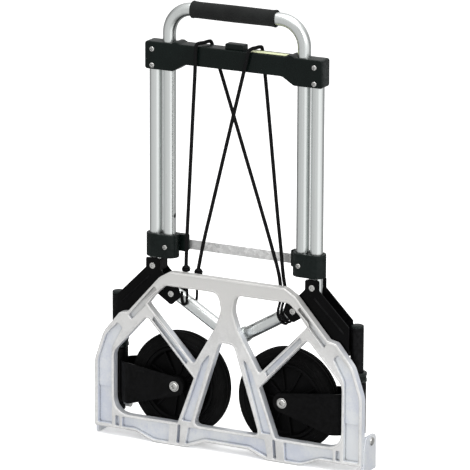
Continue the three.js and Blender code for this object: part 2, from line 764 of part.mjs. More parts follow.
const nearFace = CROSSBAR_DEPTH / 2 + CORD_RADIUS + 0.8;
const nearTop = CROSSBAR_TOP_Z + CORD_RADIUS + 1.4;
const cordA = [
  [-86.7, -7.8, 303],
  [-84.1, -10.3, 345],
  [-79.8, -12.2, 410],
  [-74.6, -14.4, 490],
  [-69.4, -16.6, 570],
  [-65.6, -nearFace, 632],
  [-64.6, -nearFace - 0.4, 655],
  [-64, -nearFace - 0.2, 668],
  [-63.5, -nearFace + 1.4, 673.6],
  [-62.4, -nearFace + 5.5, nearTop + 0.3],
  [-59, 0, nearTop],
  [-55.8, nearFace - 5.5, nearTop + 0.3],
  [-55, nearFace - 1.4, 673.6],
  [-53.4, nearFace + 0.2, 668],
  [-48.6, nearFace + 0.4, 655],
  [-40, nearFace, 632],
  [-18, 15.5, 572],
  [12.2, 12, 489],
  [41.8, 8.4, 408],
  [65.6, 4.6, 342],
  [78.5, 0.8, 306],
  [84.2, -3.6, 286],
];
const cordB = [
  [-63.9, -7.8, 300.5],
  [-53.5, -10.3, 345],
  [-36.6, -12.2, 410],
  [-15.9, -14.4, 490],
  [4.9, -16.6, 570],
  [21, -nearFace, 632],
  [27, -nearFace - 0.4, 655],
  [30, -nearFace - 0.2, 668],
  [31.4, -nearFace + 1.4, 673.6],
  [32.6, -nearFace + 5.5, nearTop + 1.2],
  [34.5, 0, nearTop + 1.2],
  [36.4, nearFace - 5.5, nearTop + 0.6],
  [37, nearFace - 1.4, 673.6],
  [37.6, nearFace + 0.2, 668],
  [39.2, nearFace + 0.4, 655],
  [42.2, nearFace, 632],
  [50, 15.5, 572],
  [60.5, 12, 489],
  [70.5, 9, 408],
  [79.2, 7, 342],
  [83.5, 6, 306],
  [87.4, 5, 286],
];
add("bungee_cord_left", cord(cordA), cordBlack);
add("bungee_cord_right", cord(cordB), cordBlack);

// Hooks: a knob at the cord's end, and a bent wire that holds a brace tube. The turns of a hook lie square to
// the tube, each given as an angle from straight down, with the front of the tube at -90 degrees.
const HOOK_WIRE = 1.9;
function squareTo(x, degrees, reach) {
  const [, , braceZ] = onBrace(Math.abs(x));
  const slope = Math.atan2(braceEnd[2] - BRACE_LOW_Z, braceEnd[0]);
  const turn = THREE.MathUtils.degToRad(degrees);
  const down = reach * Math.cos(turn);
  return [x + Math.sign(x) * Math.sin(slope) * down, reach * Math.sin(turn), braceZ - Math.cos(slope) * down];
}
function hook(top, bends, knobRadius) {
  const points = [[top[0], top[1], top[2] - 6], ...bends].map((p) => new THREE.Vector3(...p));
  const route = new THREE.CatmullRomCurve3(points, false, "centripetal");
  const bent = swept(circle(HOOK_WIRE), route, 3 * (points.length - 1), 3);
  const knob = rod(knobRadius, [top[0], top[1], top[2] - 9.5], [top[0], top[1], top[2] - 1.8], 8);
  return join(bent, knob);
}
const hookReach = TUBE_RADIUS + HOOK_WIRE + 0.6;
const flatHook = [
  [-82.2, -hookReach, 271],
  [-82.2, -hookReach, 248],
  [-84.6, -hookReach, 238.5],
  [-88.9, -hookReach, 237.5],
  [-91.4, -hookReach, 244],
  [-91.4, -hookReach, 259],
];
const turns = (x, angles) => angles.map((degrees) => squareTo(x, degrees, hookReach));
add("bungee_hook_1", hook(cordA[0], flatHook, 6.6), blackSteel);
add("bungee_hook_2", hook(cordB[0], [[-75, 8, 268], ...turns(-81, [108, 84, 60, 36])], 6.6), blackSteel);
add("bungee_hook_3", hook(cordA.at(-1), [[86, -9, 266], ...turns(86.5, [-112, -84, -56, -28, 0, 28])], 3.2), blackSteel);
add("bungee_hook_4", hook(cordB.at(-1), [[92, -8, 268], ...turns(93, [-112, -84, -56, -28, 0, 28])], 3.2), blackSteel);

export default cart;
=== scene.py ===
"""A folding luggage cart, stored upright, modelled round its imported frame."""

import json
import math

import bpy
from bpy.props import FloatProperty, FloatVectorProperty, PointerProperty
from mathutils import Matrix, Quaternion, Vector

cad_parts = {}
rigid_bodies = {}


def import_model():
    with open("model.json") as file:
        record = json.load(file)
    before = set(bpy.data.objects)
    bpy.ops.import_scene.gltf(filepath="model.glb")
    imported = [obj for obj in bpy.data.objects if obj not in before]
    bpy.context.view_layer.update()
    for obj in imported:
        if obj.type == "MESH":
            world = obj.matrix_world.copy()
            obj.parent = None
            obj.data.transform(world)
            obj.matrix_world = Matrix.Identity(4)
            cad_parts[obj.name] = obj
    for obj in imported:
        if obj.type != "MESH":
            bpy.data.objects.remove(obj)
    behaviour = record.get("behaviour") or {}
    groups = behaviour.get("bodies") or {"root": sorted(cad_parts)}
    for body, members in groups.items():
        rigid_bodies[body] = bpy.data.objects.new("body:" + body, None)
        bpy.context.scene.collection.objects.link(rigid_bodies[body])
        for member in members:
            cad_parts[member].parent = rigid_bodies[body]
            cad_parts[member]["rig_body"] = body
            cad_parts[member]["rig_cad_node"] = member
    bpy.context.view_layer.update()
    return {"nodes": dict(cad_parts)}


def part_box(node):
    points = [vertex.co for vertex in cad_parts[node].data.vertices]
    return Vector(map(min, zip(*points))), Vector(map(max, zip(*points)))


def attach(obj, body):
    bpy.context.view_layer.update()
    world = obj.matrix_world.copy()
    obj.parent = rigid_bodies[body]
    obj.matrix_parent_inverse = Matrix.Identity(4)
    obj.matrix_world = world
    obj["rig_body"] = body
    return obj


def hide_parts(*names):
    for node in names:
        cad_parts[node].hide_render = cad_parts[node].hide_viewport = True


bl_info = {
    "name": "Folding luggage cart",
    "version": (1, 0, 0),
    "blender": (4, 5, 0),
    "location": "View3D > Sidebar > Luggage cart",
    "description": "Models a folding luggage cart piece by piece",
    "category": "Object",
}

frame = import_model()

MM = 0.001
SIDES = (("right", 1), ("left", -1))
CLEARANCE = 0.35
BOLT_HOLE = 4 + CLEARANCE

# Places taken from the frame, in millimetres.


def middle(node):
    low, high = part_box(node)
    return (low + high) / 2 / MM


def extent(node):
    low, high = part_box(node)
    return low / MM, high / MM


FIXED_X = middle("frame_tube_right").x
TUBE_LOW, TUBE_HIGH = extent("frame_tube_right")
TUBE_RADIUS = (TUBE_HIGH.x - TUBE_LOW.x) / 2
HANDLE_LOW, HANDLE_HIGH = extent("handle_tube")
HANDLE_X = HANDLE_HIGH.x - TUBE_RADIUS
HANDLE_TOP = HANDLE_HIGH.z - TUBE_RADIUS
HANDLE_FOOT = HANDLE_LOW.z
CROSSBAR_LOW, CROSSBAR_HIGH = extent("crossbar_front_shell")
CROSSBAR_DEPTH = -CROSSBAR_LOW.y
CROSSBAR_TOP = CROSSBAR_HIGH.z - 3
POST = middle("post_right")
POST_LOW, POST_HIGH = extent("post_right")
AXLE = middle("tyre_right")
WHEEL_LOW, WHEEL_HIGH = extent("tyre_right")
WHEEL_RADIUS = (WHEEL_HIGH.z - WHEEL_LOW.z) / 2
PLATE_LOW, PLATE_HIGH = extent("toe_plate")
PLATE_BACK = -17.0
EAR_IN = 242.0
UPPER_BOLT = middle("bracket_bolt_right")
BRACE_BOLT = middle("brace_bolt_right")
BRACE_LOW_Z = 187.0
BRACKET_HALF = 14.0
SHEET = 2.5
HANDLE_BEND = 42.0


# Sizes and colours that a user would change.


def length(name, text, default):
    return FloatProperty(name=name, description=text, default=default, min=0.0, unit="LENGTH")


def colour(name, text, default):
    return FloatVectorProperty(
        name=name, description=text, default=default, min=0.0, max=1.0, subtype="COLOR"
    )


class CartSizes(bpy.types.PropertyGroup):
    """Sizes of the cart's details."""

    tube_wall: length("Tube wall", "Thickness of the round tubes", 0.0015)
    grip_radius: length("Grip radius", "Outside radius of the foam grip", 0.0136)
    shell_round: length("Shell edge", "Rounding of the crossbar's edges", 0.0022)
    cast_round: length("Casting edge", "Rounding of the toe plate's edges", 0.0013)
    bead: length("Rim bead", "Radius of the bead round each opening of the toe plate", 0.0015)
    cord_diameter: length("Cord diameter", "Thickness of the bungee cords", 0.006)


class CartColours(bpy.types.PropertyGroup):
    """Colours of the cart's finishes."""

    anodised: colour("Anodised tube", "Satin aluminium tube", (0.79, 0.82, 0.81))
    cast: colour("Cast aluminium", "Front of the toe plate's ribs", (0.75, 0.75, 0.745))
    cast_top: colour("Cast aluminium, top", "Top rail of the toe plate", (0.655, 0.65, 0.635))
    cast_worn: colour("Cast aluminium, worn", "Edges of the toe plate", (0.90, 0.90, 0.89))
    cast_floor: colour("Cast aluminium, floors", "Recesses and sides of the toe plate", (0.77, 0.79, 0.81))
    cast_cool: colour("Cast aluminium, cool", "Faint second tone of the toe plate", (0.66, 0.69, 0.76))
    plastic: colour("Black plastic", "Crossbar, collars and button", (0.0022, 0.0044, 0.0038))
    paint: colour("Black paint", "Steel brackets, posts and forks", (0.0012, 0.0012, 0.0013))
    zinc: colour("Zinc", "Screws, bolts and rivets", (0.72, 0.72, 0.70))
    strip: colour("Galvanised", "Tie strip", (0.80, 0.80, 0.795))
    foam: colour("Foam", "Grip", (0.0065, 0.0072, 0.0070))
    cord: colour("Cord", "Bungee cords", (0.003, 0.003, 0.0032))
    rubber: colour("Rubber", "Tyres", (0.0022, 0.0022, 0.0022))
    rim: colour("Wheel plastic", "Wheel centres", (0.0016, 0.0016, 0.0017))
    label: colour("Pale strip", "Strip on the crossbar", (0.86, 0.90, 0.56))
    spring: colour("Spring steel", "Springs of the lock", (0.42, 0.43, 0.45))


class CartStage(bpy.types.PropertyGroup):
    """Camera, floor and light."""

    camera_place: FloatVectorProperty(
        name="Camera", description="Where the camera stands", default=(3.162, -6.071, 2.174),
        unit="LENGTH",
    )
    camera_target: FloatVectorProperty(
        name="Target", description="What the camera looks at", default=(0.0, 0.0, 0.3627),
        unit="LENGTH",
    )
    camera_roll: FloatProperty(
        name="Roll", description="Turn about the line of sight", default=math.radians(0.25),
        subtype="ANGLE",
    )
    camera_lens: FloatProperty(
        name="Lens", description="Focal length in millimetres", default=335.46, min=1.0
    )
    floor: colour("Floor", "Plain pale floor", (0.96, 0.96, 0.96))
    key_power: FloatProperty(
        name="Key light", description="Power of the large light overhead", default=130.0, min=0.0
    )
    side_power: FloatProperty(
        name="Side light", description="Power of the soft light at the right", default=38.0, min=0.0
    )


def sizes():
    return bpy.context.scene.cart_sizes


def colours():
    return bpy.context.scene.cart_colours


def stage_values():
    return bpy.context.scene.cart_stage


# Shader node groups and finishes.


def put(tree, kind, settings=None, **values):
    """A node with its settings and the values of its sockets."""
    made = tree.nodes.new(kind)
    for key, value in (settings or {}).items():
        setattr(made, key, value)
    for key, value in values.items():
        made.inputs[key.replace("_", " ")].default_value = value
    return made


def new_group(name, inputs, outputs):
    tree = bpy.data.node_groups.new(name, "ShaderNodeTree")
    for key, kind, value in inputs:
        socket = tree.interface.new_socket(key, in_out="INPUT", socket_type=kind)
        if value is not None:
            socket.default_value = value
    for key, kind in outputs:
        tree.interface.new_socket(key, in_out="OUTPUT", socket_type=kind)
    entry = tree.nodes.new("NodeGroupInput")
    leave = tree.nodes.new("NodeGroupOutput")
    return tree, entry, leave


FLOAT = "NodeSocketFloat"
VECTOR = "NodeSocketVector"
COLOUR = "NodeSocketColor"


def tone_group():
    """Two colours mixed in soft patches, with a finer mottling over them."""
    tree, entry, leave = new_group(
        "Soft tone",
        [
            ("Vector", VECTOR, None),
            ("First", COLOUR, (0.5, 0.5, 0.5, 1)),
            ("Second", COLOUR, (0.4, 0.4, 0.4, 1)),
            ("Patch scale", FLOAT, 20.0),
            ("Fine scale", FLOAT, 300.0),
        ],
        [("Color", COLOUR), ("Mask", FLOAT)],
    )
    patch = put(tree, "ShaderNodeTexNoise", Detail=3.0, Roughness=0.55)
    fine = put(tree, "ShaderNodeTexNoise", Detail=2.0, Roughness=0.6)
    blend = put(tree, "ShaderNodeMath", {"operation": "MULTIPLY_ADD"})
    blend.inputs[1].default_value = 0.35
    spread = put(tree, "ShaderNodeMapRange", {"interpolation_type": "SMOOTHSTEP"})
    spread.inputs["From Min"].default_value = 0.52
    spread.inputs["From Max"].default_value = 0.86
    mix = put(tree, "ShaderNodeMix", {"data_type": "RGBA"})
    links = tree.links
    links.new(entry.outputs["Vector"], patch.inputs["Vector"])
    links.new(entry.outputs["Vector"], fine.inputs["Vector"])
    links.new(entry.outputs["Patch scale"], patch.inputs["Scale"])
    links.new(entry.outputs["Fine scale"], fine.inputs["Scale"])
    links.new(fine.outputs["Fac"], blend.inputs[0])
    links.new(patch.outputs["Fac"], blend.inputs[2])
    links.new(blend.outputs[0], spread.inputs["Value"])
    links.new(spread.outputs["Result"], mix.inputs["Factor"])
    links.new(entry.outputs["First"], mix.inputs["A"])
    links.new(entry.outputs["Second"], mix.inputs["B"])
    links.new(mix.outputs["Result"], leave.inputs["Color"])
    links.new(spread.outputs["Result"], leave.inputs["Mask"])
    return tree


def grain_group():
    """A fine grain as bump, on top of a slower waviness."""
    tree, entry, leave = new_group(
        "Moulded grain",
        [
            ("Vector", VECTOR, None),
            ("Grain scale", FLOAT, 900.0),
            ("Wave scale", FLOAT, 60.0),
            ("Grain depth", FLOAT, 0.1),
            ("Wave depth", FLOAT, 0.1),
        ],
        [("Normal", VECTOR), ("Height", FLOAT)],
    )
    grain = put(tree, "ShaderNodeTexNoise", Detail=2.0, Roughness=0.7)
    wave = put(tree, "ShaderNodeTexNoise", Detail=1.0)
    wave_bump = put(tree, "ShaderNodeBump", Distance=0.002)
    grain_bump = put(tree, "ShaderNodeBump", Distance=0.0004)
    links = tree.links
    links.new(entry.outputs["Vector"], grain.inputs["Vector"])
    links.new(entry.outputs["Vector"], wave.inputs["Vector"])
    links.new(entry.outputs["Grain scale"], grain.inputs["Scale"])
    links.new(entry.outputs["Wave scale"], wave.inputs["Scale"])
    links.new(entry.outputs["Grain depth"], grain_bump.inputs["Strength"])
    links.new(entry.outputs["Wave depth"], wave_bump.inputs["Strength"])
    links.new(wave.outputs["Fac"], wave_bump.inputs["Height"])
    links.new(grain.outputs["Fac"], grain_bump.inputs["Height"])
    links.new(wave_bump.outputs["Normal"], grain_bump.inputs["Normal"])
    links.new(grain_bump.outputs["Normal"], leave.inputs["Normal"])
    links.new(grain.outputs["Fac"], leave.inputs["Height"])
    return tree


def wear_group():
    """How much a spot is a raised edge: the mask for rubbed edges and for painted edge highlights."""
    tree, entry, leave = new_group(
        "Rubbed edges and painted highlight",
        [("Vector", VECTOR, None), ("Start", FLOAT, 0.52), ("End", FLOAT, 0.60)],
        [("Mask", FLOAT)],
    )
    shape = put(tree, "ShaderNodeNewGeometry")
    edge = put(tree, "ShaderNodeMapRange", {"interpolation_type": "SMOOTHSTEP"})
    broken = put(tree, "ShaderNodeTexNoise", Scale=180.0, Detail=3.0)
    uneven = put(tree, "ShaderNodeMapRange")
    uneven.inputs["From Min"].default_value = 0.35
    uneven.inputs["From Max"].default_value = 0.62
    times = put(tree, "ShaderNodeMath", {"operation": "MULTIPLY"})
    links = tree.links
    links.new(entry.outputs["Vector"], broken.inputs["Vector"])
    links.new(entry.outputs["Start"], edge.inputs["From Min"])
    links.new(entry.outputs["End"], edge.inputs["From Max"])
    links.new(shape.outputs["Pointiness"], edge.inputs["Value"])
    links.new(broken.outputs["Fac"], uneven.inputs["Value"])
    links.new(edge.outputs["Result"], times.inputs[0])
    links.new(uneven.outputs["Result"], times.inputs[1])
    links.new(times.outputs[0], leave.inputs["Mask"])
    return tree


def smudge_group():
    """Roughness that wanders between two values, as on a handled surface."""
    tree, entry, leave = new_group(
        "Handling smudges",
        [
            ("Vector", VECTOR, None),
            ("Scale", FLOAT, 40.0),
            ("Smooth", FLOAT, 0.3),
            ("Rough", FLOAT, 0.5),
        ],
        [("Roughness", FLOAT)],
    )
    noise = put(tree, "ShaderNodeTexNoise", Detail=4.0, Roughness=0.65)
    spread = put(tree, "ShaderNodeMapRange")
    spread.inputs["From Min"].default_value = 0.3
    spread.inputs["From Max"].default_value = 0.7
    links = tree.links
    links.new(entry.outputs["Vector"], noise.inputs["Vector"])
    links.new(entry.outputs["Scale"], noise.inputs["Scale"])
    links.new(noise.outputs["Fac"], spread.inputs["Value"])
    links.new(entry.outputs["Smooth"], spread.inputs["To Min"])
    links.new(entry.outputs["Rough"], spread.inputs["To Max"])
    links.new(spread.outputs["Result"], leave.inputs["Roughness"])
    return tree


def crease_group():
    """Paints shade into a colour: darkens it in the corners where the faces of one piece meet."""
    tree, entry, leave = new_group(
        "Painted corner shade",
        [
            ("Color", COLOUR, (0.5, 0.5, 0.5, 1)),
            ("Reach", FLOAT, 0.003),
            ("Darkest", FLOAT, 0.4),
            ("Start", FLOAT, 0.25),
            ("End", FLOAT, 0.85),
        ],
        [("Color", COLOUR)],
    )
    corner = put(tree, "ShaderNodeAmbientOcclusion", {"samples": 6, "only_local": True})
    fall = put(tree, "ShaderNodeMapRange", {"interpolation_type": "SMOOTHSTEP"})
    shade = put(tree, "ShaderNodeVectorMath", {"operation": "SCALE"})
    links = tree.links
    links.new(entry.outputs["Reach"], corner.inputs["Distance"])
    links.new(entry.outputs["Start"], fall.inputs["From Min"])
    links.new(entry.outputs["End"], fall.inputs["From Max"])
    links.new(entry.outputs["Darkest"], fall.inputs["To Min"])
    links.new(corner.outputs["AO"], fall.inputs["Value"])
    links.new(entry.outputs["Color"], shade.inputs[0])
    links.new(fall.outputs["Result"], shade.inputs["Scale"])
    links.new(shade.outputs["Vector"], leave.inputs["Color"])
    return tree


GROUPS = {
    "corner_shade": crease_group,
    "tone": tone_group,
    "grain": grain_group,
    "wear_and_highlight": wear_group,
    "smudge": smudge_group,
}
GROUP_NAMES = {
    "corner_shade": "Painted corner shade",
    "tone": "Soft tone",
    "grain": "Moulded grain",
    "wear_and_highlight": "Rubbed edges and painted highlight",
    "smudge": "Handling smudges",
}


def use(tree, which, place, **values):
    """A shared node group placed in a material, reading the point or colour it is given."""
    group = bpy.data.node_groups.get(GROUP_NAMES[which]) or GROUPS[which]()
    made = tree.nodes.new("ShaderNodeGroup")
    made.node_tree = group
    tree.links.new(place, made.inputs[0])
    for key, value in values.items():
        made.inputs[key.replace("_", " ")].default_value = value
    return made


def start_finish(name, stretch=(1, 1, 1), turn=(0, 0, 0), source="Object"):
    """A material with its Principled shader and the point that its patterns read."""
    material = bpy.data.materials.new(name)
    material.use_nodes = True
    tree = material.node_tree
    tree.nodes.clear()
    shader = tree.nodes.new("ShaderNodeBsdfPrincipled")
    output = tree.nodes.new("ShaderNodeOutputMaterial")
    tree.links.new(shader.outputs["BSDF"], output.inputs["Surface"])
    coordinates = tree.nodes.new("ShaderNodeTexCoord")
    mapping = tree.nodes.new("ShaderNodeMapping")
    mapping.inputs["Scale"].default_value = stretch
    mapping.inputs["Rotation"].default_value = turn
    tree.links.new(coordinates.outputs[source], mapping.inputs["Vector"])
    return material, tree, shader, mapping.outputs["Vector"]


def rgba(value, share=1.0):
    return (*[channel * share for channel in value], 1.0)


def finish(
    name,
    base,
    second,
    metal=0.0,
    smooth=0.35,
    rough=0.5,
    patch=20.0,
    grain=900.0,
    grain_depth=0.1,
    wave=60.0,
    wave_depth=0.08,
    wear_and_highlight=None,
    stretch=(1, 1, 1),
    turn=(0, 0, 0),
    **shader_values,
):
    """A solid finish: soft tones, smudged gloss, a fine grain and, if asked, a paler colour on raised edges,
    which is rubbed metal on the cast plate and a painted highlight on the black plastic and paint.
    """
    if name in bpy.data.materials:
        return bpy.data.materials[name]
    material, tree, shader, place = start_finish(name, stretch, turn)
    links = tree.links
    tone = use(tree, "tone", place, First=base, Second=second, Patch_scale=patch)
    colour_out = tone.outputs["Color"]
    if wear_and_highlight is not None:
        rubbed_and_highlit = use(tree, "wear_and_highlight", place)
        over = put(tree, "ShaderNodeMix", {"data_type": "RGBA"})
        over.inputs["B"].default_value = wear_and_highlight
        links.new(rubbed_and_highlit.outputs["Mask"], over.inputs["Factor"])
        links.new(colour_out, over.inputs["A"])
        colour_out = over.outputs["Result"]
    smudge = use(tree, "smudge", place, Smooth=smooth, Rough=rough)
    bumps = use(
        tree, "grain", place,
        Grain_scale=grain, Grain_depth=grain_depth, Wave_scale=wave, Wave_depth=wave_depth,
    )
    links.new(colour_out, shader.inputs["Base Color"])
    links.new(smudge.outputs["Roughness"], shader.inputs["Roughness"])
    links.new(bumps.outputs["Normal"], shader.inputs["Normal"])
    shader.inputs["Metallic"].default_value = metal
    for key, value in shader_values.items():
        shader.inputs[key.replace("_", " ")].default_value = value
    return material


def anodised(name="Anodised aluminium", turn=(0, 0, 0)):
    tint = colours().anodised
    return finish(
        name, rgba(tint), rgba(tint, 0.93), metal=1.0, smooth=0.24, rough=0.34,
        patch=14.0, grain=1400.0, grain_depth=0.05, wave=90.0, wave_depth=0.012,
        stretch=(1, 1, 0.03), turn=turn,
    )


def creased(material, reach, darkest, start=0.25, end=0.85):
    """A finish with painted shade: darkened in the corners where its faces meet, down to darkest of its
    colour.
    """
    tree = material.node_tree
    shader = next(node for node in tree.nodes if node.type == "BSDF_PRINCIPLED")
    surface = shader.inputs["Base Color"].links[0].from_socket
    corners = use(tree, "corner_shade", surface, Reach=reach, Darkest=darkest, Start=start, End=end)
    tree.links.new(corners.outputs["Color"], shader.inputs["Base Color"])
    return material


def cast_aluminium():
    """Grey with cooler, paler floors and sides, and warmer towards the top rail."""
    tint = colours()
    if "Cast aluminium" in bpy.data.materials:
        return bpy.data.materials["Cast aluminium"]
    material = finish(
        "Cast aluminium", rgba(tint.cast), rgba(tint.cast, 0.84), metal=0.62,
        smooth=0.3, rough=0.54, patch=26.0, grain=520.0, grain_depth=0.22,
        wave=55.0, wave_depth=0.16, wear_and_highlight=rgba(tint.cast_worn),
    )
    tree = material.node_tree
    shader = next(node for node in tree.nodes if node.type == "BSDF_PRINCIPLED")
    surface = shader.inputs["Base Color"].links[0].from_socket
    coordinates = next(node for node in tree.nodes if node.type == "TEX_COORD")
    split = put(tree, "ShaderNodeSeparateXYZ")
    depth = put(
        tree, "ShaderNodeMapRange", {"interpolation_type": "SMOOTHSTEP"},
        From_Min=-0.0313, From_Max=-0.0296,
    )
    floor = use(
        tree, "tone", coordinates.outputs["Object"],
        First=rgba(tint.cast_floor), Second=rgba(tint.cast_cool), Patch_scale=24.0,
    )
    blend = put(tree, "ShaderNodeMix", {"data_type": "RGBA"})
    tree.links.new(coordinates.outputs["Object"], split.inputs["Vector"])
    tree.links.new(split.outputs["Y"], depth.inputs["Value"])
    tree.links.new(depth.outputs["Result"], blend.inputs["Factor"])
    tree.links.new(surface, blend.inputs["A"])
    tree.links.new(floor.outputs["Color"], blend.inputs["B"])
    height = put(
        tree, "ShaderNodeMapRange", {"interpolation_type": "SMOOTHSTEP"},
        From_Min=0.16, From_Max=0.27,
    )
    warmed = put(tree, "ShaderNodeMix", {"data_type": "RGBA"})
    warmed.inputs["B"].default_value = rgba(tint.cast_top)
    tree.links.new(split.outputs["Z"], height.inputs["Value"])
    tree.links.new(height.outputs["Result"], warmed.inputs["Factor"])
    tree.links.new(blend.outputs["Result"], warmed.inputs["A"])
    tree.links.new(warmed.outputs["Result"], shader.inputs["Base Color"])
    # Painted shade: the plate's colour darkens in the corners where its faces meet.
    return creased(material, 0.004, 0.4)


def black_plastic():
    tint = colours().plastic
    # The paler colour along the raised edges is a painted highlight.
    return finish(
        "Moulded black plastic", rgba(tint), rgba(tint, 1.4), smooth=0.2, rough=0.38,
        grain=1500.0, grain_depth=0.1, wear_and_highlight=rgba((0.03, 0.034, 0.034)), IOR=1.24,
    )


def black_paint():
    tint = colours().paint
    # The paler colour along the raised edges is a painted highlight.
    return finish(
        "Black powder coat", rgba(tint), rgba(tint, 1.8), smooth=0.3, rough=0.46,
        grain=700.0, grain_depth=0.16, wave=220.0, wave_depth=0.05,
        wear_and_highlight=rgba((0.009, 0.009, 0.01)), IOR=1.16,
    )


def zinc():
    tint = colours().zinc
    if "Bright zinc" in bpy.data.materials:
        return bpy.data.materials["Bright zinc"]
    material = finish(
        "Bright zinc", rgba(tint), rgba(tint, 0.8), metal=1.0, smooth=0.16, rough=0.3,
        patch=120.0, grain=1800.0, grain_depth=0.06,
    )
    # Painted shade: the colour darkens in the recesses and corners of each screw and bolt.
    return creased(material, 0.0016, 0.04, 0.35, 0.9)


def spring_steel():
    tint = colours().spring
    return finish(
        "Spring steel", rgba(tint), rgba(tint, 0.8), metal=1.0, smooth=0.25, rough=0.4,
        patch=200.0, grain=2000.0, grain_depth=0.05,
    )


def tyre_rubber():
    tint = colours().rubber
    return finish(
        "Tyre rubber", rgba(tint), rgba(tint, 2.0), smooth=0.55, rough=0.75,
        patch=30.0, grain=1100.0, grain_depth=0.25, wave=80.0, wave_depth=0.06,
        IOR=1.14,
    )


def wheel_plastic():
    tint = colours().rim
    return finish(
        "Wheel plastic", rgba(tint), rgba(tint, 1.8), smooth=0.38, rough=0.55,
        grain=1300.0, grain_depth=0.1, IOR=1.14,
    )


def label_film():
    tint = colours().label
    return finish(
        "Pale strip film", rgba(tint), rgba(tint, 0.93), smooth=0.25, rough=0.4,
        patch=60.0, grain=900.0, grain_depth=0.03,
    )


def galvanised():
    """Dull zinc with its pattern of crystals."""
    name = "Galvanised strip"
    if name in bpy.data.materials:
        return bpy.data.materials[name]
    tint = colours().strip
    material, tree, shader, place = start_finish(name)
    links = tree.links
    crystals = put(tree, "ShaderNodeTexVoronoi", Scale=170.0)
    shades = put(tree, "ShaderNodeMapRange")
    shades.inputs["To Min"].default_value = 0.0
    shades.inputs["To Max"].default_value = 0.6
    tone = use(tree, "tone", place, First=rgba(tint), Second=rgba(tint, 1.35), Patch_scale=22.0)
    mix = put(tree, "ShaderNodeMix", {"data_type": "RGBA"})
    mix.inputs["B"].default_value = rgba(tint, 0.72)
    split = put(tree, "ShaderNodeSeparateColor")
    smudge = use(tree, "smudge", place, Scale=90.0, Smooth=0.36, Rough=0.58)
    bumps = use(tree, "grain", place, Grain_scale=700.0, Grain_depth=0.1)
    links.new(place, crystals.inputs["Vector"])
    links.new(crystals.outputs["Color"], split.inputs["Color"])
    links.new(split.outputs["Red"], shades.inputs["Value"])
    links.new(shades.outputs["Result"], mix.inputs["Factor"])
    links.new(tone.outputs["Color"], mix.inputs["A"])
    links.new(mix.outputs["Result"], shader.inputs["Base Color"])
    links.new(smudge.outputs["Roughness"], shader.inputs["Roughness"])
    links.new(bumps.outputs["Normal"], shader.inputs["Normal"])
    shader.inputs["Metallic"].default_value = 0.9
    return material


def grip_foam():
    """Closed-cell foam: open pores cut by the skin, and a soft sheen."""
    name = "Grip foam"
    if name in bpy.data.materials:
        return bpy.data.materials[name]
    tint = colours().foam
    material, tree, shader, place = start_finish(name)
    links = tree.links
    pores = put(tree, "ShaderNodeTexVoronoi", Scale=1100.0)
    cells = put(tree, "ShaderNodeMapRange")
    cells.inputs["From Max"].default_value = 0.5
    tone = use(tree, "tone", place, First=rgba(tint), Second=rgba(tint, 1.5), Patch_scale=45.0)
    # Painted shade: the colour is darker inside the pores.
    pore_shade = put(tree, "ShaderNodeMix", {"data_type": "RGBA"})
    pore_shade.inputs["A"].default_value = rgba(tint, 0.55)
    soft = use(tree, "grain", place, Grain_scale=500.0, Grain_depth=0.2, Wave_depth=0.2)
    bump = put(tree, "ShaderNodeBump", Strength=0.35, Distance=0.0004)
    smudge = use(tree, "smudge", place, Smooth=0.72, Rough=0.9)
    links.new(place, pores.inputs["Vector"])
    links.new(pores.outputs["Distance"], cells.inputs["Value"])
    links.new(cells.outputs["Result"], pore_shade.inputs["Factor"])
    links.new(tone.outputs["Color"], pore_shade.inputs["B"])
    links.new(pore_shade.outputs["Result"], shader.inputs["Base Color"])
    links.new(cells.outputs["Result"], bump.inputs["Height"])
    links.new(soft.outputs["Normal"], bump.inputs["Normal"])
    links.new(bump.outputs["Normal"], shader.inputs["Normal"])
    links.new(smudge.outputs["Roughness"], shader.inputs["Roughness"])
    shader.inputs["Sheen Weight"].default_value = 0.05
    shader.inputs["IOR"].default_value = 1.25
    return material


def cord_braid():
    """A braided sleeve: two sets of strands that cross round the cord."""
    name = "Cord braid"
    if name in bpy.data.materials:
        return bpy.data.materials[name]
    tint = colours().cord
    material, tree, shader, place = start_finish(name, stretch=(260, 7, 1), source="UV")
    links = tree.links
    strands = []
    for lean in (1, -1):
        wave = put(
            tree, "ShaderNodeTexWave", {"wave_type": "BANDS", "bands_direction": "X"}, Scale=0.32
        )
        slant = tree.nodes.new("ShaderNodeMapping")
        slant.inputs["Rotation"].default_value = (0, 0, lean * math.pi / 4)
        links.new(place, slant.inputs["Vector"])
        links.new(slant.outputs["Vector"], wave.inputs["Vector"])
        strands.append(wave.outputs["Fac"])
    over = put(tree, "ShaderNodeMath", {"operation": "MAXIMUM"})
    mix = put(tree, "ShaderNodeMix", {"data_type": "RGBA"})
    mix.inputs["A"].default_value = rgba(tint, 0.6)
    mix.inputs["B"].default_value = rgba(tint, 2.2)
    rough = put(tree, "ShaderNodeMapRange")
    rough.inputs["To Min"].default_value = 0.9
    rough.inputs["To Max"].default_value = 0.68
    bump = put(tree, "ShaderNodeBump", Strength=0.6, Distance=0.0005)
    links.new(strands[0], over.inputs[0])
    links.new(strands[1], over.inputs[1])
    links.new(over.outputs[0], mix.inputs["Factor"])
    links.new(over.outputs[0], rough.inputs["Value"])
    links.new(over.outputs[0], bump.inputs["Height"])
    links.new(mix.outputs["Result"], shader.inputs["Base Color"])
    links.new(rough.outputs["Result"], shader.inputs["Roughness"])
    links.new(bump.outputs["Normal"], shader.inputs["Normal"])
    shader.inputs["IOR"].default_value = 1.16
    return material


# Modelling.


def only(piece):
    bpy.ops.object.select_all(action="DESELECT")
    piece.select_set(True)
    bpy.context.view_layer.objects.active = piece


def edit(piece):
    only(piece)
    bpy.ops.object.mode_set(mode="EDIT")
    bpy.ops.mesh.select_all(action="SELECT")


def leave_edit():
    bpy.ops.object.mode_set(mode="OBJECT")


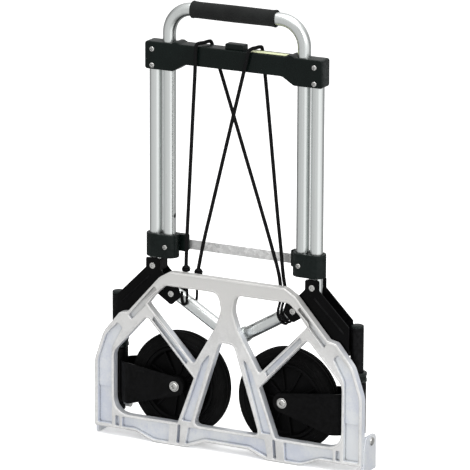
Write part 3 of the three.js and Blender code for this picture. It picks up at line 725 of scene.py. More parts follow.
def renamed(piece, name):
    piece.name = name
    piece.data.name = name
    return piece


def place_in_mesh(piece):
    only(piece)
    bpy.ops.object.transform_apply(location=True, rotation=True, scale=True)


def clean(piece, reach=1e-6):
    edit(piece)
    bpy.ops.mesh.remove_doubles(threshold=reach)
    bpy.ops.mesh.normals_make_consistent(inside=False)
    leave_edit()


def apply_last(piece):
    only(piece)
    bpy.ops.object.modifier_apply(modifier=piece.modifiers[-1].name)


def bevelled(piece, width, segments=2, angle=30):
    bevel = piece.modifiers.new("Edge", "BEVEL")
    bevel.width = width * MM
    bevel.segments = segments
    bevel.limit_method = "ANGLE"
    bevel.angle_limit = math.radians(angle)
    apply_last(piece)
    return piece


def carved(piece, *cutters):
    """Cuts each cutter out of the piece, and removes the cutter."""
    for cutter in cutters:
        cut = piece.modifiers.new("Cut", "BOOLEAN")
        cut.operation = "DIFFERENCE"
        cut.solver = "EXACT"
        cut.object = cutter
        apply_last(piece)
        bpy.data.objects.remove(cutter)
    return piece


def joined(name, *pieces):
    bpy.ops.object.select_all(action="DESELECT")
    for piece in pieces:
        piece.select_set(True)
    bpy.context.view_layer.objects.active = pieces[0]
    bpy.ops.object.join()
    return renamed(pieces[0], name)


def copied(piece, name, shift=(0, 0, 0)):
    twin = piece.copy()
    twin.data = piece.data.copy()
    bpy.context.scene.collection.objects.link(twin)
    twin.data.transform(Matrix.Translation(Vector(shift) * MM))
    return renamed(twin, name)


def mirrored(piece, name):
    """The same piece on the cart's other side, with its own mesh."""
    twin = copied(piece, name)
    twin.data.transform(Matrix.Diagonal((-1, 1, 1, 1)))
    twin.data.flip_normals()
    return twin


def upright_rectangle(half, low, high):
    """The outline of a rectangle centred on X = 0, between two heights."""
    return rounded([(-half, low), (half, low), (half, high), (-half, high)])


def bolt_hole(x, z):
    """A cutter for a bolt that runs front to back."""
    return rod("bolt hole", BOLT_HOLE, (x, -20, z), (x, 20, z))


def rounded(points, steps=6):
    """A closed loop through [x, y] or [x, y, corner radius]."""
    loop = []
    for i, (x, y, *radius) in enumerate(points):
        here = Vector((x, y))
        before = Vector(points[i - 1][:2]) - here
        after = Vector(points[(i + 1) % len(points)][:2]) - here
        if not radius:
            loop.append(here)
            continue
        back = radius[0] / math.tan(before.angle(after) / 2)
        start = here + before.normalized() * back
        end = here + after.normalized() * back
        for k in range(steps + 1):
            t = k / steps
            loop.append(start * (1 - t) ** 2 + here * 2 * t * (1 - t) + end * t * t)
    return loop


def both_sides(points):
    """A right half and its mirror image as one closed loop."""
    return [*points, *[(-x, *rest) for x, *rest in reversed(points)]]


def other_side(points):
    return [(-x, *rest) for x, *rest in reversed(points)]


def circle(radius, x=0.0, y=0.0, steps=40):
    turns = [2 * math.pi * k / steps for k in range(steps)]
    return [Vector((x + radius * math.cos(a), y + radius * math.sin(a))) for a in turns]


def signed_area(loop):
    return sum(a.x * b.y - b.x * a.y for a, b in zip(loop, [*loop[1:], loop[0]])) / 2


PLANES = {
    # the loop's x and y, and the way that the thickness runs
    "XZ": Matrix(((1, 0, 0), (0, 0, -1), (0, 1, 0))),
    "XY": Matrix(((1, 0, 0), (0, 1, 0), (0, 0, 1))),
    "YZ": Matrix(((0, 0, 1), (1, 0, 0), (0, 1, 0))),
}


def slab(name, loop, low, high, edge=0.0, holes=(), plane="XZ", grow=0.0):
    """A plate with rounded edges, cut to a loop in one plane, from low to high across it."""
    shape = bpy.data.curves.new(name, "CURVE")
    shape.dimensions = "2D"
    shape.fill_mode = "BOTH"
    shape.extrude = ((high - low) / 2 - edge) * MM
    shape.bevel_depth = edge * MM
    shape.bevel_resolution = 2
    shape.offset = (grow - edge) * MM
    for k, one in enumerate((loop, *holes)):
        clockwise = signed_area(one) < 0
        points = one if clockwise == (k == 0) else one[::-1]
        spline = shape.splines.new("POLY")
        spline.points.add(len(points) - 1)
        for target, point in zip(spline.points, points):
            target.co = (point[0] * MM, point[1] * MM, 0, 1)
        spline.use_cyclic_u = True
    piece = bpy.data.objects.new(name, shape)
    bpy.context.scene.collection.objects.link(piece)
    only(piece)
    bpy.ops.object.convert(target="MESH")
    piece = bpy.context.object
    across = (low + high) / 2 * MM
    turn = PLANES[plane]
    offset = {"XZ": (0, across, 0), "XY": (0, 0, across), "YZ": (across, 0, 0)}[plane]
    piece.data.transform(Matrix.Translation(offset) @ turn.to_4x4())
    clean(piece)
    return renamed(piece, name)


def turned(name, profile, start=(0, 0, 0), along=(0, 0, 1), steps=48, ring=False):
    """A profile of (radius, distance along) spun about a line. A ring's profile closes on itself."""
    bpy.ops.object.select_all(action="DESELECT")
    bpy.ops.mesh.primitive_circle_add(vertices=len(profile), radius=1, fill_type="NOTHING")
    piece = renamed(bpy.context.object, name)
    for vertex, (radius, height) in zip(piece.data.vertices, profile):
        vertex.co = (radius * MM, 0, height * MM)
    if not ring:
        edit(piece)
        bpy.ops.mesh.select_all(action="DESELECT")
        leave_edit()
        ends = {0, len(profile) - 1}
        for line in piece.data.edges:
            line.select = set(line.vertices) == ends
        bpy.ops.object.mode_set(mode="EDIT")
        bpy.ops.mesh.select_mode(type="EDGE")
        bpy.ops.mesh.delete(type="EDGE")
        leave_edit()
    edit(piece)
    bpy.ops.mesh.spin(steps=steps, angle=2 * math.pi, center=(0, 0, 0), axis=(0, 0, 1))
    leave_edit()
    clean(piece)
    turn = Vector((0, 0, 1)).rotation_difference(Vector(along).normalized())
    piece.data.transform(Matrix.Translation(Vector(start) * MM) @ turn.to_matrix().to_4x4())
    return piece


def rod(name, radius, start, end, steps=32):
    """A plain round cutter."""
    along = Vector(end) - Vector(start)
    profile = [(0, 0), (radius, 0), (radius, along.length), (0, along.length)]
    return turned(name, profile, start, along, steps)


def pipe(name, outer, wall, start, end, edge=0.3, steps=56):
    """An open round tube with broken edges."""
    along = Vector(end) - Vector(start)
    inner = outer - wall
    far = along.length
    profile = [
        (outer, edge), (outer, far - edge), (outer - edge, far), (inner + edge, far),
        (inner, far - edge), (inner, edge), (inner + edge, 0), (outer - edge, 0),
    ]
    return turned(name, profile, start, along, steps, ring=True)


def wire(name, points, radius, closed=False, fineness=3, steps=8):
    """A round wire through the points, as a mesh."""
    piece = wire_curve(name, points, radius, closed, fineness, steps)
    only(piece)
    bpy.ops.object.convert(target="MESH")
    piece = bpy.context.object
    clean(piece)
    return renamed(piece, name)


def wire_curve(name, points, radius, closed=False, fineness=3, steps=8):
    shape = bpy.data.curves.new(name, "CURVE")
    shape.dimensions = "3D"
    shape.bevel_depth = radius * MM
    shape.bevel_resolution = fineness
    shape.resolution_u = steps
    shape.use_fill_caps = not closed
    spline = shape.splines.new("BEZIER")
    spline.bezier_points.add(len(points) - 1)
    for target, point in zip(spline.bezier_points, points):
        target.co = Vector(point) * MM
        target.handle_left_type = "AUTO"
        target.handle_right_type = "AUTO"
    spline.use_cyclic_u = closed
    piece = bpy.data.objects.new(name, shape)
    bpy.context.scene.collection.objects.link(piece)
    return piece


def refined(node, name, width=0.5, segments=2, angle=30):
    """A copy of a frame node, merged, with flat faces made whole and edges broken."""
    source = frame["nodes"][node]
    piece = source.copy()
    piece.data = source.data.copy()
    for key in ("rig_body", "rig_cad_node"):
        del piece[key]
    piece.parent = None
    bpy.context.scene.collection.objects.link(piece)
    renamed(piece, name)
    edit(piece)
    bpy.ops.mesh.remove_doubles(threshold=1e-5)
    bpy.ops.mesh.dissolve_limited(angle_limit=math.radians(0.8))
    leave_edit()
    return bevelled(piece, width, segments, angle) if width else piece


def smooth(piece, angle=35):
    only(piece)
    bpy.ops.object.shade_smooth_by_angle(angle=math.radians(angle))
    piece.modifiers.new("Face weight", "WEIGHTED_NORMAL").keep_sharp = True
    apply_last(piece)


def settle(piece, body, slot, material, *nodes, angle=35):
    """Finishes a piece: shading, material, what it rides on, and hiding the frame nodes that it replaces."""
    if piece.type == "MESH":
        smooth(piece, angle)
    piece.data.materials.clear()
    piece.data.materials.append(material)
    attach(piece, body)
    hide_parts(*nodes)
    return piece


def settle_pair(piece, name, body, slot, material, node, angle=35):
    """A right piece and its left twin. A body or node named with {} has one on each side."""
    twin = mirrored(piece, f"{name}_left")
    renamed(piece, f"{name}_right")
    for side, one in (("right", piece), ("left", twin)):
        settle(one, body.format(side), slot, material, f"{node}_{side}", angle=angle)


def dress(node, material):
    """A better material on a frame node that stays."""
    piece = frame["nodes"][node]
    for place in piece.material_slots:
        place.link = "OBJECT"
        place.material = material


# Stage.


def studio_world():
    """Soft light all round: brightest from the right and above, darker behind and at the left."""
    world = bpy.data.worlds.new("Soft studio")
    bpy.context.scene.world = world
    world.use_nodes = True
    tree = world.node_tree
    tree.nodes.clear()
    output = tree.nodes.new("ShaderNodeOutputWorld")
    place = tree.nodes.new("ShaderNodeTexCoord")
    links = tree.links

    def glow(direction, first, last, strength):
        """Light that grows as a direction nears the given one."""
        near = put(tree, "ShaderNodeVectorMath", {"operation": "DOT_PRODUCT"})
        near.inputs[1].default_value = Vector(direction).normalized()
        links.new(place.outputs["Generated"], near.inputs[0])
        spread = put(tree, "ShaderNodeMapRange", {"interpolation_type": "SMOOTHSTEP"})
        spread.inputs["From Min"].default_value = first
        spread.inputs["From Max"].default_value = last
        spread.inputs["To Max"].default_value = strength
        links.new(near.outputs["Value"], spread.inputs["Value"])
        return spread.outputs["Result"]

    total = put(tree, "ShaderNodeMath", {"operation": "ADD"})
    total.inputs[0].default_value = 0.30
    total.inputs[1].default_value = 0.0
    for direction, first, last, strength in (
        ((0.96, -0.28, -0.15), 0.55, 0.96, 0.95),
        ((-0.45, -0.86, -0.2), 0.35, 0.95, 0.52),
        ((0.46, -0.88, -0.2), 0.70, 0.99, 0.22),
        ((0.0, 0.0, 1.0), 0.1, 0.9, 0.75),
        ((0.0, 1.0, 0.1), 0.6, 0.98, 0.35),
    ):
        following = put(tree, "ShaderNodeMath", {"operation": "ADD"})
        links.new(total.outputs[0], following.inputs[0])
        links.new(glow(direction, first, last, strength), following.inputs[1])
        total = following
    studio = tree.nodes.new("ShaderNodeBackground")
    links.new(total.outputs[0], studio.inputs["Strength"])
    plain = tree.nodes.new("ShaderNodeBackground")
    rays = tree.nodes.new("ShaderNodeLightPath")
    mix = tree.nodes.new("ShaderNodeMixShader")
    links.new(rays.outputs["Is Camera Ray"], mix.inputs["Fac"])
    links.new(studio.outputs["Background"], mix.inputs[1])
    links.new(plain.outputs["Background"], mix.inputs[2])
    links.new(mix.outputs["Shader"], output.inputs["Surface"])


class CART_OT_stage(bpy.types.Operator):
    """Adds the camera, the pale floor and the soft light"""

    bl_idname = "cart.stage"
    bl_label = "Stage"

    def execute(self, context):
        values = stage_values()
        bpy.ops.object.select_all(action="DESELECT")
        place = Vector(values.camera_place)
        aim = (Vector(values.camera_target) - place).to_track_quat("-Z", "Y")
        aim = aim @ Quaternion((0, 0, 1), values.camera_roll)
        bpy.ops.object.camera_add(location=place, rotation=aim.to_euler())
        camera = bpy.context.object
        camera.data.sensor_width = 36
        camera.data.lens = values.camera_lens
        camera.data.shift_x = -0.0015
        camera.data.shift_y = -0.0003
        camera.data.clip_start = 0.1
        camera.data.clip_end = 200
        context.scene.camera = camera

        bpy.ops.mesh.primitive_plane_add(size=60, location=(0, 0, 0))
        floor = renamed(bpy.context.object, "floor")
        edit(floor)
        bpy.ops.mesh.subdivide(number_cuts=4)
        leave_edit()
        place_in_mesh(floor)
        ground = finish(
            "Pale floor", rgba(values.floor), rgba(values.floor, 0.995), smooth=0.85, rough=0.95,
            patch=0.5, grain=60.0, grain_depth=0.0, wave_depth=0.0, Specular_IOR_Level=0.0,
            Emission_Color=(1, 1, 1, 1), Emission_Strength=0.3,
        )
        floor.data.materials.append(ground)
        floor.visible_glossy = False

        for name, spot, size, power in (
            ("overhead light", (0.4, -0.6, 4.0), 3.4, values.key_power),
            ("side light", (3.4, -1.6, 2.2), 2.0, values.side_power),
        ):
            towards = (Vector((0, 0, 0.35)) - Vector(spot)).to_track_quat("-Z", "Y")
            bpy.ops.object.light_add(type="AREA", location=spot, rotation=towards.to_euler())
            lamp = bpy.context.object
            lamp.name = name
            lamp.data.size = size
            lamp.data.energy = power
        studio_world()
        context.scene.view_settings.view_transform = "Standard"
        return {"FINISHED"}


# Cords.

NEAR_FACE = CROSSBAR_DEPTH + 3 + 0.8
NEAR_TOP = CROSSBAR_TOP + 3 + 1.4
CORDS = {
    "left": [
        (-86.7, -7.8, 303), (-84.1, -10.3, 345), (-79.8, -12.2, 410), (-74.6, -14.4, 490),
        (-69.4, -16.6, 570), (-65.6, -NEAR_FACE, 632), (-64.6, -NEAR_FACE - 0.4, 655),
        (-64, -NEAR_FACE - 0.2, 668), (-63.5, -NEAR_FACE + 1.4, 673.6),
        (-62.4, -NEAR_FACE + 5.5, NEAR_TOP + 0.3), (-59, 0, NEAR_TOP),
        (-55.8, NEAR_FACE - 5.5, NEAR_TOP + 0.3), (-55, NEAR_FACE - 1.4, 673.6),
        (-53.4, NEAR_FACE + 0.2, 668), (-48.6, NEAR_FACE + 0.4, 655), (-40, NEAR_FACE, 632),
        (-18, 15.5, 572), (12.2, 12, 489), (41.8, 8.4, 408), (65.6, 4.6, 342), (78.5, 0.8, 306),
        (84.2, -3.6, 286),
    ],
    "right": [
        (-63.9, -7.8, 300.5), (-53.5, -10.3, 345), (-36.6, -12.2, 410), (-15.9, -14.4, 490),
        (4.9, -16.6, 570), (21, -NEAR_FACE, 632), (27, -NEAR_FACE - 0.4, 655),
        (30, -NEAR_FACE - 0.2, 668), (31.4, -NEAR_FACE + 1.4, 673.6),
        (32.6, -NEAR_FACE + 5.5, NEAR_TOP + 1.2), (34.5, 0, NEAR_TOP + 1.2),
        (36.4, NEAR_FACE - 5.5, NEAR_TOP + 0.6), (37, NEAR_FACE - 1.4, 673.6),
        (37.6, NEAR_FACE + 0.2, 668), (39.2, NEAR_FACE + 0.4, 655), (42.2, NEAR_FACE, 632),
        (50, 15.5, 572), (60.5, 12, 489), (70.5, 9, 408), (79.2, 7, 342), (83.5, 6, 306),
        (87.4, 5, 286),
    ],
}


def square_to(x, degrees, reach):
    """A point round a brace tube, square to it: the angle runs from straight down, -90 at the front."""
    slope = math.atan2(BRACE_BOLT.z - BRACE_LOW_Z, BRACE_BOLT.x)
    height = BRACE_LOW_Z + abs(x) * math.tan(slope)
    turn = math.radians(degrees)
    down = reach * math.cos(turn)
    return (
        x + math.copysign(math.sin(slope), x) * down,
        reach * math.sin(turn),
        height - math.cos(slope) * down,
    )


HOOK_WIRE = 2.2
HOOK_REACH = TUBE_RADIUS + 2.7
# Which end of which cord each hook is on, its bends, and the radius of its knob.
HOOKS = (
    (
        "left", 0,
        [
            (-82.2, -HOOK_REACH, 271), (-82.2, -HOOK_REACH, 248), (-84.6, -HOOK_REACH, 238.5),
            (-88.9, -HOOK_REACH, 237.5), (-91.4, -HOOK_REACH, 244), (-91.4, -HOOK_REACH, 259),
        ],
        7.4,
    ),
    ("right", 0, [(-75, 8, 268), *[square_to(-81, a, HOOK_REACH) for a in (108, 84, 60, 36)]], 7.4),
    (
        "left", -1,
        [(86, -9, 266), *[square_to(86.5, a, HOOK_REACH) for a in (-112, -84, -56, -28, 0, 28)]], 3.5,
    ),
    (
        "right", -1,
        [(92, -8, 268), *[square_to(93, a, HOOK_REACH) for a in (-112, -84, -56, -28, 0, 28)]], 3.5,
    ),
)


def bungee_hook(name, top, bends, knob_radius):
    """A coated wire hook on a brace tube, and the crimped knob that holds the cord."""
    bend = [(top[0], top[1], top[2] - 6), *bends]
    hook = wire(name, bend, HOOK_WIRE, fineness=4, steps=8)
    rings = [(0, -11), (0.46, -11), (0.74, -10.4)]
    for low, wide in ((-9.8, 0.94), (-7.2, 1.0), (-4.6, 0.88)):
        rings += [(wide * 0.92, low), (wide, low + 0.8), (wide * 0.94, low + 1.7), (wide * 0.78, low + 2.1)]
    rings += [(0.46, -0.6), (0, -0.6)]
    knob = turned(f"{name}_knob", [(r * knob_radius, h) for r, h in rings], top, steps=28)
    return joined(name, hook, knob)


class CART_OT_cords(bpy.types.Operator):
    """Adds the two stretched bungee cords with their hooks"""

    bl_idname = "cart.cords"
    bl_label = "Bungee cords"

    def execute(self, context):
        thick = sizes().cord_diameter
        hooks = {"left": [], "right": []}
        for number, (which, end, bends, knob_radius) in enumerate(HOOKS, start=1):
            name = f"cord_hook_{number}"
            hook = bungee_hook(name, CORDS[which][end], bends, knob_radius)
            settle(hook, "frame", "black_steel", black_paint(), f"bungee_hook_{number}")
            hooks[which].append(hook)
        for which, route in CORDS.items():
            name = f"stretched_cord_{which}"
            cord = wire_curve(name, route, thick / 2 / MM, fineness=5, steps=12)
            settle(cord, "frame", "cord", cord_braid(), f"bungee_cord_{which}")
            steps = zip(route, route[1:])
            stretched = sum((Vector(b) - Vector(a)).length for a, b in steps) * MM
        return {"FINISHED"}


# Fasteners, each kind modelled once and copied.


def pan_screw(name, head):
    """A pan-head screw with a cross recess, its head on the -Y side of the origin."""
    rise = head * 0.55
    profile = [
        (0, -4), (head * 0.5, -4), (head * 0.5, 0), (head, 0), (head, rise * 0.3),
        (head * 0.93, rise * 0.62), (head * 0.76, rise * 0.86), (head * 0.45, rise), (0, rise),
    ]
    screw = turned(name, profile, along=(0, -1, 0), steps=32)
    cutters = []
    for long, high in ((0.62, 0.15), (0.15, 0.62)):
        bpy.ops.object.select_all(action="DESELECT")
        bpy.ops.mesh.primitive_cube_add(size=1, location=(0, -rise * MM, 0))
        blade = bpy.context.object
        blade.scale = (2 * head * long * MM, rise * MM, 2 * head * high * MM)
        place_in_mesh(blade)
        cutters.append(blade)
    return bevelled(carved(screw, *cutters), 0.12, 1)


def hexagon(name, size, low, high, edge=0.5):
    """A hexagonal prism about the Y axis through the origin, from low to high along Y."""
    corners = [(size * math.cos(k * math.pi / 3), size * math.sin(k * math.pi / 3)) for k in range(6)]
    return slab(name, rounded([(*corner, 0.4) for corner in corners], 2), low, high, edge)


def socket_bolt(name, head, shank, low, high):
    """A through bolt: low-profile socket head at -Y, washer, and a domed nut at +Y."""
    rise = head * 0.5
    front = turned(
        name,
        [
            (0, -2), (head * 1.12, -2), (head * 1.12, -1.2), (head * 1.0, -1.0), (head, rise * 0.5),
            (head * 0.94, rise * 0.82), (head * 0.8, rise), (0, rise),
        ],
        (0, low + 1.2, 0), (0, -1, 0), 36,
    )
    socket = hexagon(f"{name}_socket", head * 0.52, low - rise - 2, low - rise * 0.25, 0)
    carved(front, socket)
    bevelled(front, 0.15, 1)
    stem = turned(
        f"{name}_stem",
        [(0, 0), (shank, 0), (shank, high - low + 6.5), (shank - 0.8, high - low + 7.3),
         (0, high - low + 7.3)],
        (0, low - 0.5, 0), (0, 1, 0), 24,
    )
    nut = hexagon(f"{name}_nut", head * 1.05, high, high + head * 0.62, 0.5)
    return joined(name, front, stem, nut)


# The cart, piece by piece.


class CART_OT_crossbar(bpy.types.Operator):
    """Adds the crossbar's two shells, its screws, the pale strip and the release button"""

    bl_idname = "cart.crossbar"
    bl_label = "Crossbar"

    def execute(self, context):
        top = CROSSBAR_TOP
        end = CROSSBAR_HIGH.x
        low = CROSSBAR_LOW.z
        right = [
            (106, top + 3, 4), (112, top, 3), (end, top, 5), (end, low, 5), (109, low, 10),
            (88, low + 13, 14),
        ]
        left = other_side(right)
        rise = [(-101, top + 3, 4), (-95, top, 3)]
        loop = rounded([*right, *left, *rise, *other_side(rise)], 8)
        edge = sizes().shell_round / MM
        for name, near, far in (("front", -0.15, 40), ("rear", -40, 0.15)):
            shell = slab(f"crossbar_{name}", loop, -CROSSBAR_DEPTH, CROSSBAR_DEPTH, edge)
            other_half = slab("other half", upright_rectangle(end + 9, 600, 700), near, far)
            bore = TUBE_RADIUS + CLEARANCE
            cutters = [
                rod("leg bore", bore, (s * HANDLE_X, 0, 600), (s * HANDLE_X, 0, 700), 48)
                for _, s in SIDES
            ]
            cutters += [
                rod("tube bore", bore, (s * FIXED_X, 0, 600), (s * FIXED_X, 0, top - 2.5), 48)
                for _, s in SIDES
            ]
            cutters.append(slab("chamber", upright_rectangle(92, 642, top - 3), -9, 9))
            cutters.append(slab("slot", upright_rectangle(18, top - 6, top + 6), -8.6, 8.6))
            carved(shell, other_half, *cutters)
            settle(shell, "frame", "black_plastic", black_plastic(), f"crossbar_{name}_shell")
        for number in range(1, 5):
            node = f"crossbar_screw_{number}"
            spot = middle(node)
            screw = pan_screw(f"shell_screw_{number}", 4.4)
            screw.data.transform(Matrix.Rotation(0.5 + number * 0.9, 4, "Y"))
            screw.data.transform(Matrix.Translation(Vector((spot.x, -CROSSBAR_DEPTH, spot.z)) * MM))
            settle(screw, "frame", "zinc_fasteners", zinc(), node)
        strip_low, strip_high = extent("label_strip")
        strip = slab(
            "pale_strip",
            rounded([
                (strip_low.x, strip_low.y, 1), (strip_high.x, strip_low.y, 1),
                (strip_high.x, strip_high.y, 1), (strip_low.x, strip_high.y, 1),
            ]),
            strip_low.z, strip_high.z, 0.25, plane="XY",
        )
        settle(strip, "frame", "label", label_film(), "label_strip")
        button = slab(
            "button",
            rounded([(17, top + 9, 2.5), (17, top - 3.4), (-17, top - 3.4), (-17, top + 9, 2.5)]),
            -8, 8, 1.6,
        )
        settle(button, "button", "black_plastic", black_plastic(), "release_button")
        return {"FINISHED"}


class CART_OT_uprights(bpy.types.Operator):
    """Adds the fixed tubes, and the posts with their caps and collars"""

    bl_idname = "cart.uprights"
    bl_label = "Fixed tubes and posts"

    def execute(self, context):
        wall = sizes().tube_wall / MM
        tube = pipe("tube", TUBE_RADIUS, wall, (FIXED_X, 0, TUBE_LOW.z), (FIXED_X, 0, TUBE_HIGH.z))
        carved(tube, bolt_hole(UPPER_BOLT.x, UPPER_BOLT.z))
        settle_pair(tube, "fixed_tube", "frame", "anodised_tube", anodised(), "frame_tube")
        foot = (POST.x, POST.y, POST_LOW.z)
        head = (POST.x, POST.y, POST_HIGH.z)
        post = pipe("post", TUBE_RADIUS, wall, foot, head, 0.5)
        pin = middle("toe_pin_right")
        carved(post, rod("pin hole", BOLT_HOLE, (200, pin.y, pin.z), (240, pin.y, pin.z)))
        settle_pair(post, "side_post", "frame", "black_steel", black_paint(), "post")
        cap_low, cap_high = extent("post_cap_right")
        rise = cap_high.z - cap_low.z
        cap = turned(
            "cap",
            [
                (0, 0), (TUBE_RADIUS - 0.4, 0), (TUBE_RADIUS, 0.4), (TUBE_RADIUS, rise * 0.4),
                (TUBE_RADIUS - 0.5, rise * 0.68), (TUBE_RADIUS - 2.2, rise * 0.88),
                (TUBE_RADIUS - 5, rise * 0.97), (0, rise),
            ],
            (POST.x, POST.y, cap_low.z), steps=48,
        )
        settle_pair(cap, "post_plug", "frame", "black_plastic", black_plastic(), "post_cap")
        low, high = extent("post_collar_right")
        outer = (high.x - low.x) / 2
        inner = TUBE_RADIUS + CLEARANCE
        tall = high.z - low.z
        collar = turned(
            "collar",
            [
                (inner, 0.4), (inner + 0.5, 0), (outer - 0.9, 0), (outer, 0.9), (outer, 4.6),
                (outer - 0.8, 5.2), (outer - 0.8, tall - 5.2), (outer, tall - 4.6), (outer, tall - 1.2),
                (outer - 1.2, tall), (inner + 0.5, tall), (inner, tall - 0.4),
            ],
            (POST.x, POST.y, low.z), steps=48, ring=True,
        )
        settle_pair(collar, "post_keeper", "frame", "black_plastic", black_plastic(), "post_collar")
        return {"FINISHED"}


class CART_OT_handle(bpy.types.Operator):
    """Adds the bent handle, its foam grip, and the sliding collars with their tie strip"""

    bl_idname = "cart.handle"
    bl_label = "Handle"

    def execute(self, context):
        self.bent_tube()
        self.grip()
        self.collars()
        return {"FINISHED"}

    def bent_tube(self):
        """One tube: up the left leg, over two bends and the top bar, and down the right leg."""
        radius = TUBE_RADIUS
        bpy.ops.object.select_all(action="DESELECT")
        foot = Vector((-HANDLE_X, 0, HANDLE_FOOT)) * MM
        bpy.ops.mesh.primitive_circle_add(vertices=56, radius=radius * MM, fill_type="NOTHING", location=foot)
        tube = renamed(bpy.context.object, "bent_handle")
        place_in_mesh(tube)
        bend_z = HANDLE_TOP - HANDLE_BEND
        bar = HANDLE_X - HANDLE_BEND

        def push(x, z):
            bpy.ops.mesh.extrude_region_move(
                TRANSFORM_OT_translate={"value": (x * MM, 0, z * MM)}
            )

        def bend(x):
            bpy.ops.mesh.spin(
                steps=20, angle=math.pi / 2, center=(x * MM, 0, bend_z * MM), axis=(0, -1, 0)
            )

        edit(tube)
        push(0, bend_z - HANDLE_FOOT)
        bend(-bar)
        push(2 * bar, 0)
        bend(bar)
        push(0, HANDLE_FOOT - bend_z)
        leave_edit()
        clean(tube)
        wall = tube.modifiers.new("Wall", "SOLIDIFY")
        wall.thickness = sizes().tube_wall
        wall.offset = -1
        apply_last(tube)
        hole_z = (extent("lock_pin_right")[0].z + extent("lock_pin_right")[1].z) / 2 - 272
        carved(tube, rod("lock holes", 4, (-HANDLE_X + 2, 0, hole_z), (HANDLE_X - 2, 0, hole_z)))
        bevelled(tube, 0.3, 1, 60)
        settle(tube, "handle", "anodised_tube", anodised(), "handle_tube")

    def grip(self):
        low, high = extent("foam_grip")
        half = (high.x - low.x) / 2
        outer = sizes().grip_radius / MM
        inner = TUBE_RADIUS + CLEARANCE
        lip = (high.z - low.z) / 2
        right = [
            (0, outer + 0.25), (half * 0.35, outer + 0.15), (half * 0.7, outer - 0.1),
            (half - 9, outer - 0.15), (half - 5, outer + 0.1), (half - 2.4, lip - 0.1),
            (half - 1.0, lip), (half - 0.2, lip - 0.5), (half, lip - 1.1), (half - 0.5, inner + 0.7),
            (half - 1.6, inner),
        ]
        profile = [(r, x) for x, r in right] + [(r, -x) for x, r in reversed(right[1:])]
        grip = turned("grip_sleeve", profile, ((low.x + high.x) / 2, 0, HANDLE_TOP), (1, 0, 0), 64, ring=True)
        soften = grip.modifiers.new("Soft skin", "SUBSURF")
        soften.levels = soften.render_levels = 1
        apply_last(grip)
        settle(grip, "handle", "foam", grip_foam(), "foam_grip", angle=60)

    def collars(self):
        low, high = extent("slide_collar_right")
        round_end = high.x - FIXED_X
        outline = [
            *[Vector((FIXED_X + p.x, p.y)) for p in circle(round_end, steps=48) if p.x > -1e-6],
        ]
        outline.sort(key=lambda p: math.atan2(p.y, p.x - FIXED_X))
        back = [
            Vector((HANDLE_X + p.x, p.y)) for p in circle(round_end, steps=48) if p.x < 1e-6
        ]
        back.sort(key=lambda p: math.atan2(p.y, p.x - HANDLE_X) % (2 * math.pi))
        bore = TUBE_RADIUS + CLEARANCE
        holes = [circle(bore, FIXED_X, 0, 48), circle(bore, HANDLE_X, 0, 48)]
        body = slab("collar_body", [*outline, *back], low.z, high.z, 1.3, holes, "XY")
        strip_low, strip_high = extent("tie_strip")
        tie_z = (strip_low.z + strip_high.z) / 2
        tab = slab(
            "collar_tab",
            rounded([
                (95, tie_z - 10, 3), (HANDLE_X - 4, tie_z - 10), (HANDLE_X - 4, high.z - 2),
                (95, high.z - 2, 3),
            ]),
            9.5, strip_low.y - CLEARANCE, 0.6,
        )
        bore_again = rod("tab bore", bore, (HANDLE_X, 0, 300), (HANDLE_X, 0, 360), 48)
        carved(tab, bore_again)
        collar = joined("collar", body, tab)
        settle_pair(collar, "sliding_collar", "handle", "black_plastic", black_plastic(), "slide_collar")

        strip = slab(
            "flat_tie",
            rounded([
                (strip_low.x, strip_low.z, 3), (strip_high.x, strip_low.z, 3),
                (strip_high.x, strip_high.z, 3), (strip_low.x, strip_high.z, 3),
            ]),
            strip_low.y, strip_high.y, 0.3,
        )
        settle(strip, "handle", "galvanised_strip", galvanised(), "tie_strip")
        rivet_spot = middle("strip_rivet_right")
        rivet = turned(
            "rivet",
            [(0, -10), (2.1, -10), (2.1, 0), (4.1, 0), (4.1, 0.5), (3.4, 1.3), (2.2, 1.75), (0, 1.9)],
            (rivet_spot.x, strip_high.y, rivet_spot.z), (0, 1, 0), 28,
        )
        settle_pair(rivet, "tie_rivet", "handle", "zinc_fasteners", zinc(), "strip_rivet")
        screw = pan_screw("collar_screw", 4.2)
        head = extent("collar_screw_right")[0].y + 4.2 * 0.55
        screw.data.transform(Matrix.Rotation(0.7, 4, "Y"))
        screw.data.transform(Matrix.Translation(Vector((HANDLE_X, head, tie_z)) * MM))
        settle_pair(screw, "clamp_screw", "handle", "zinc_fasteners", zinc(), "collar_screw")


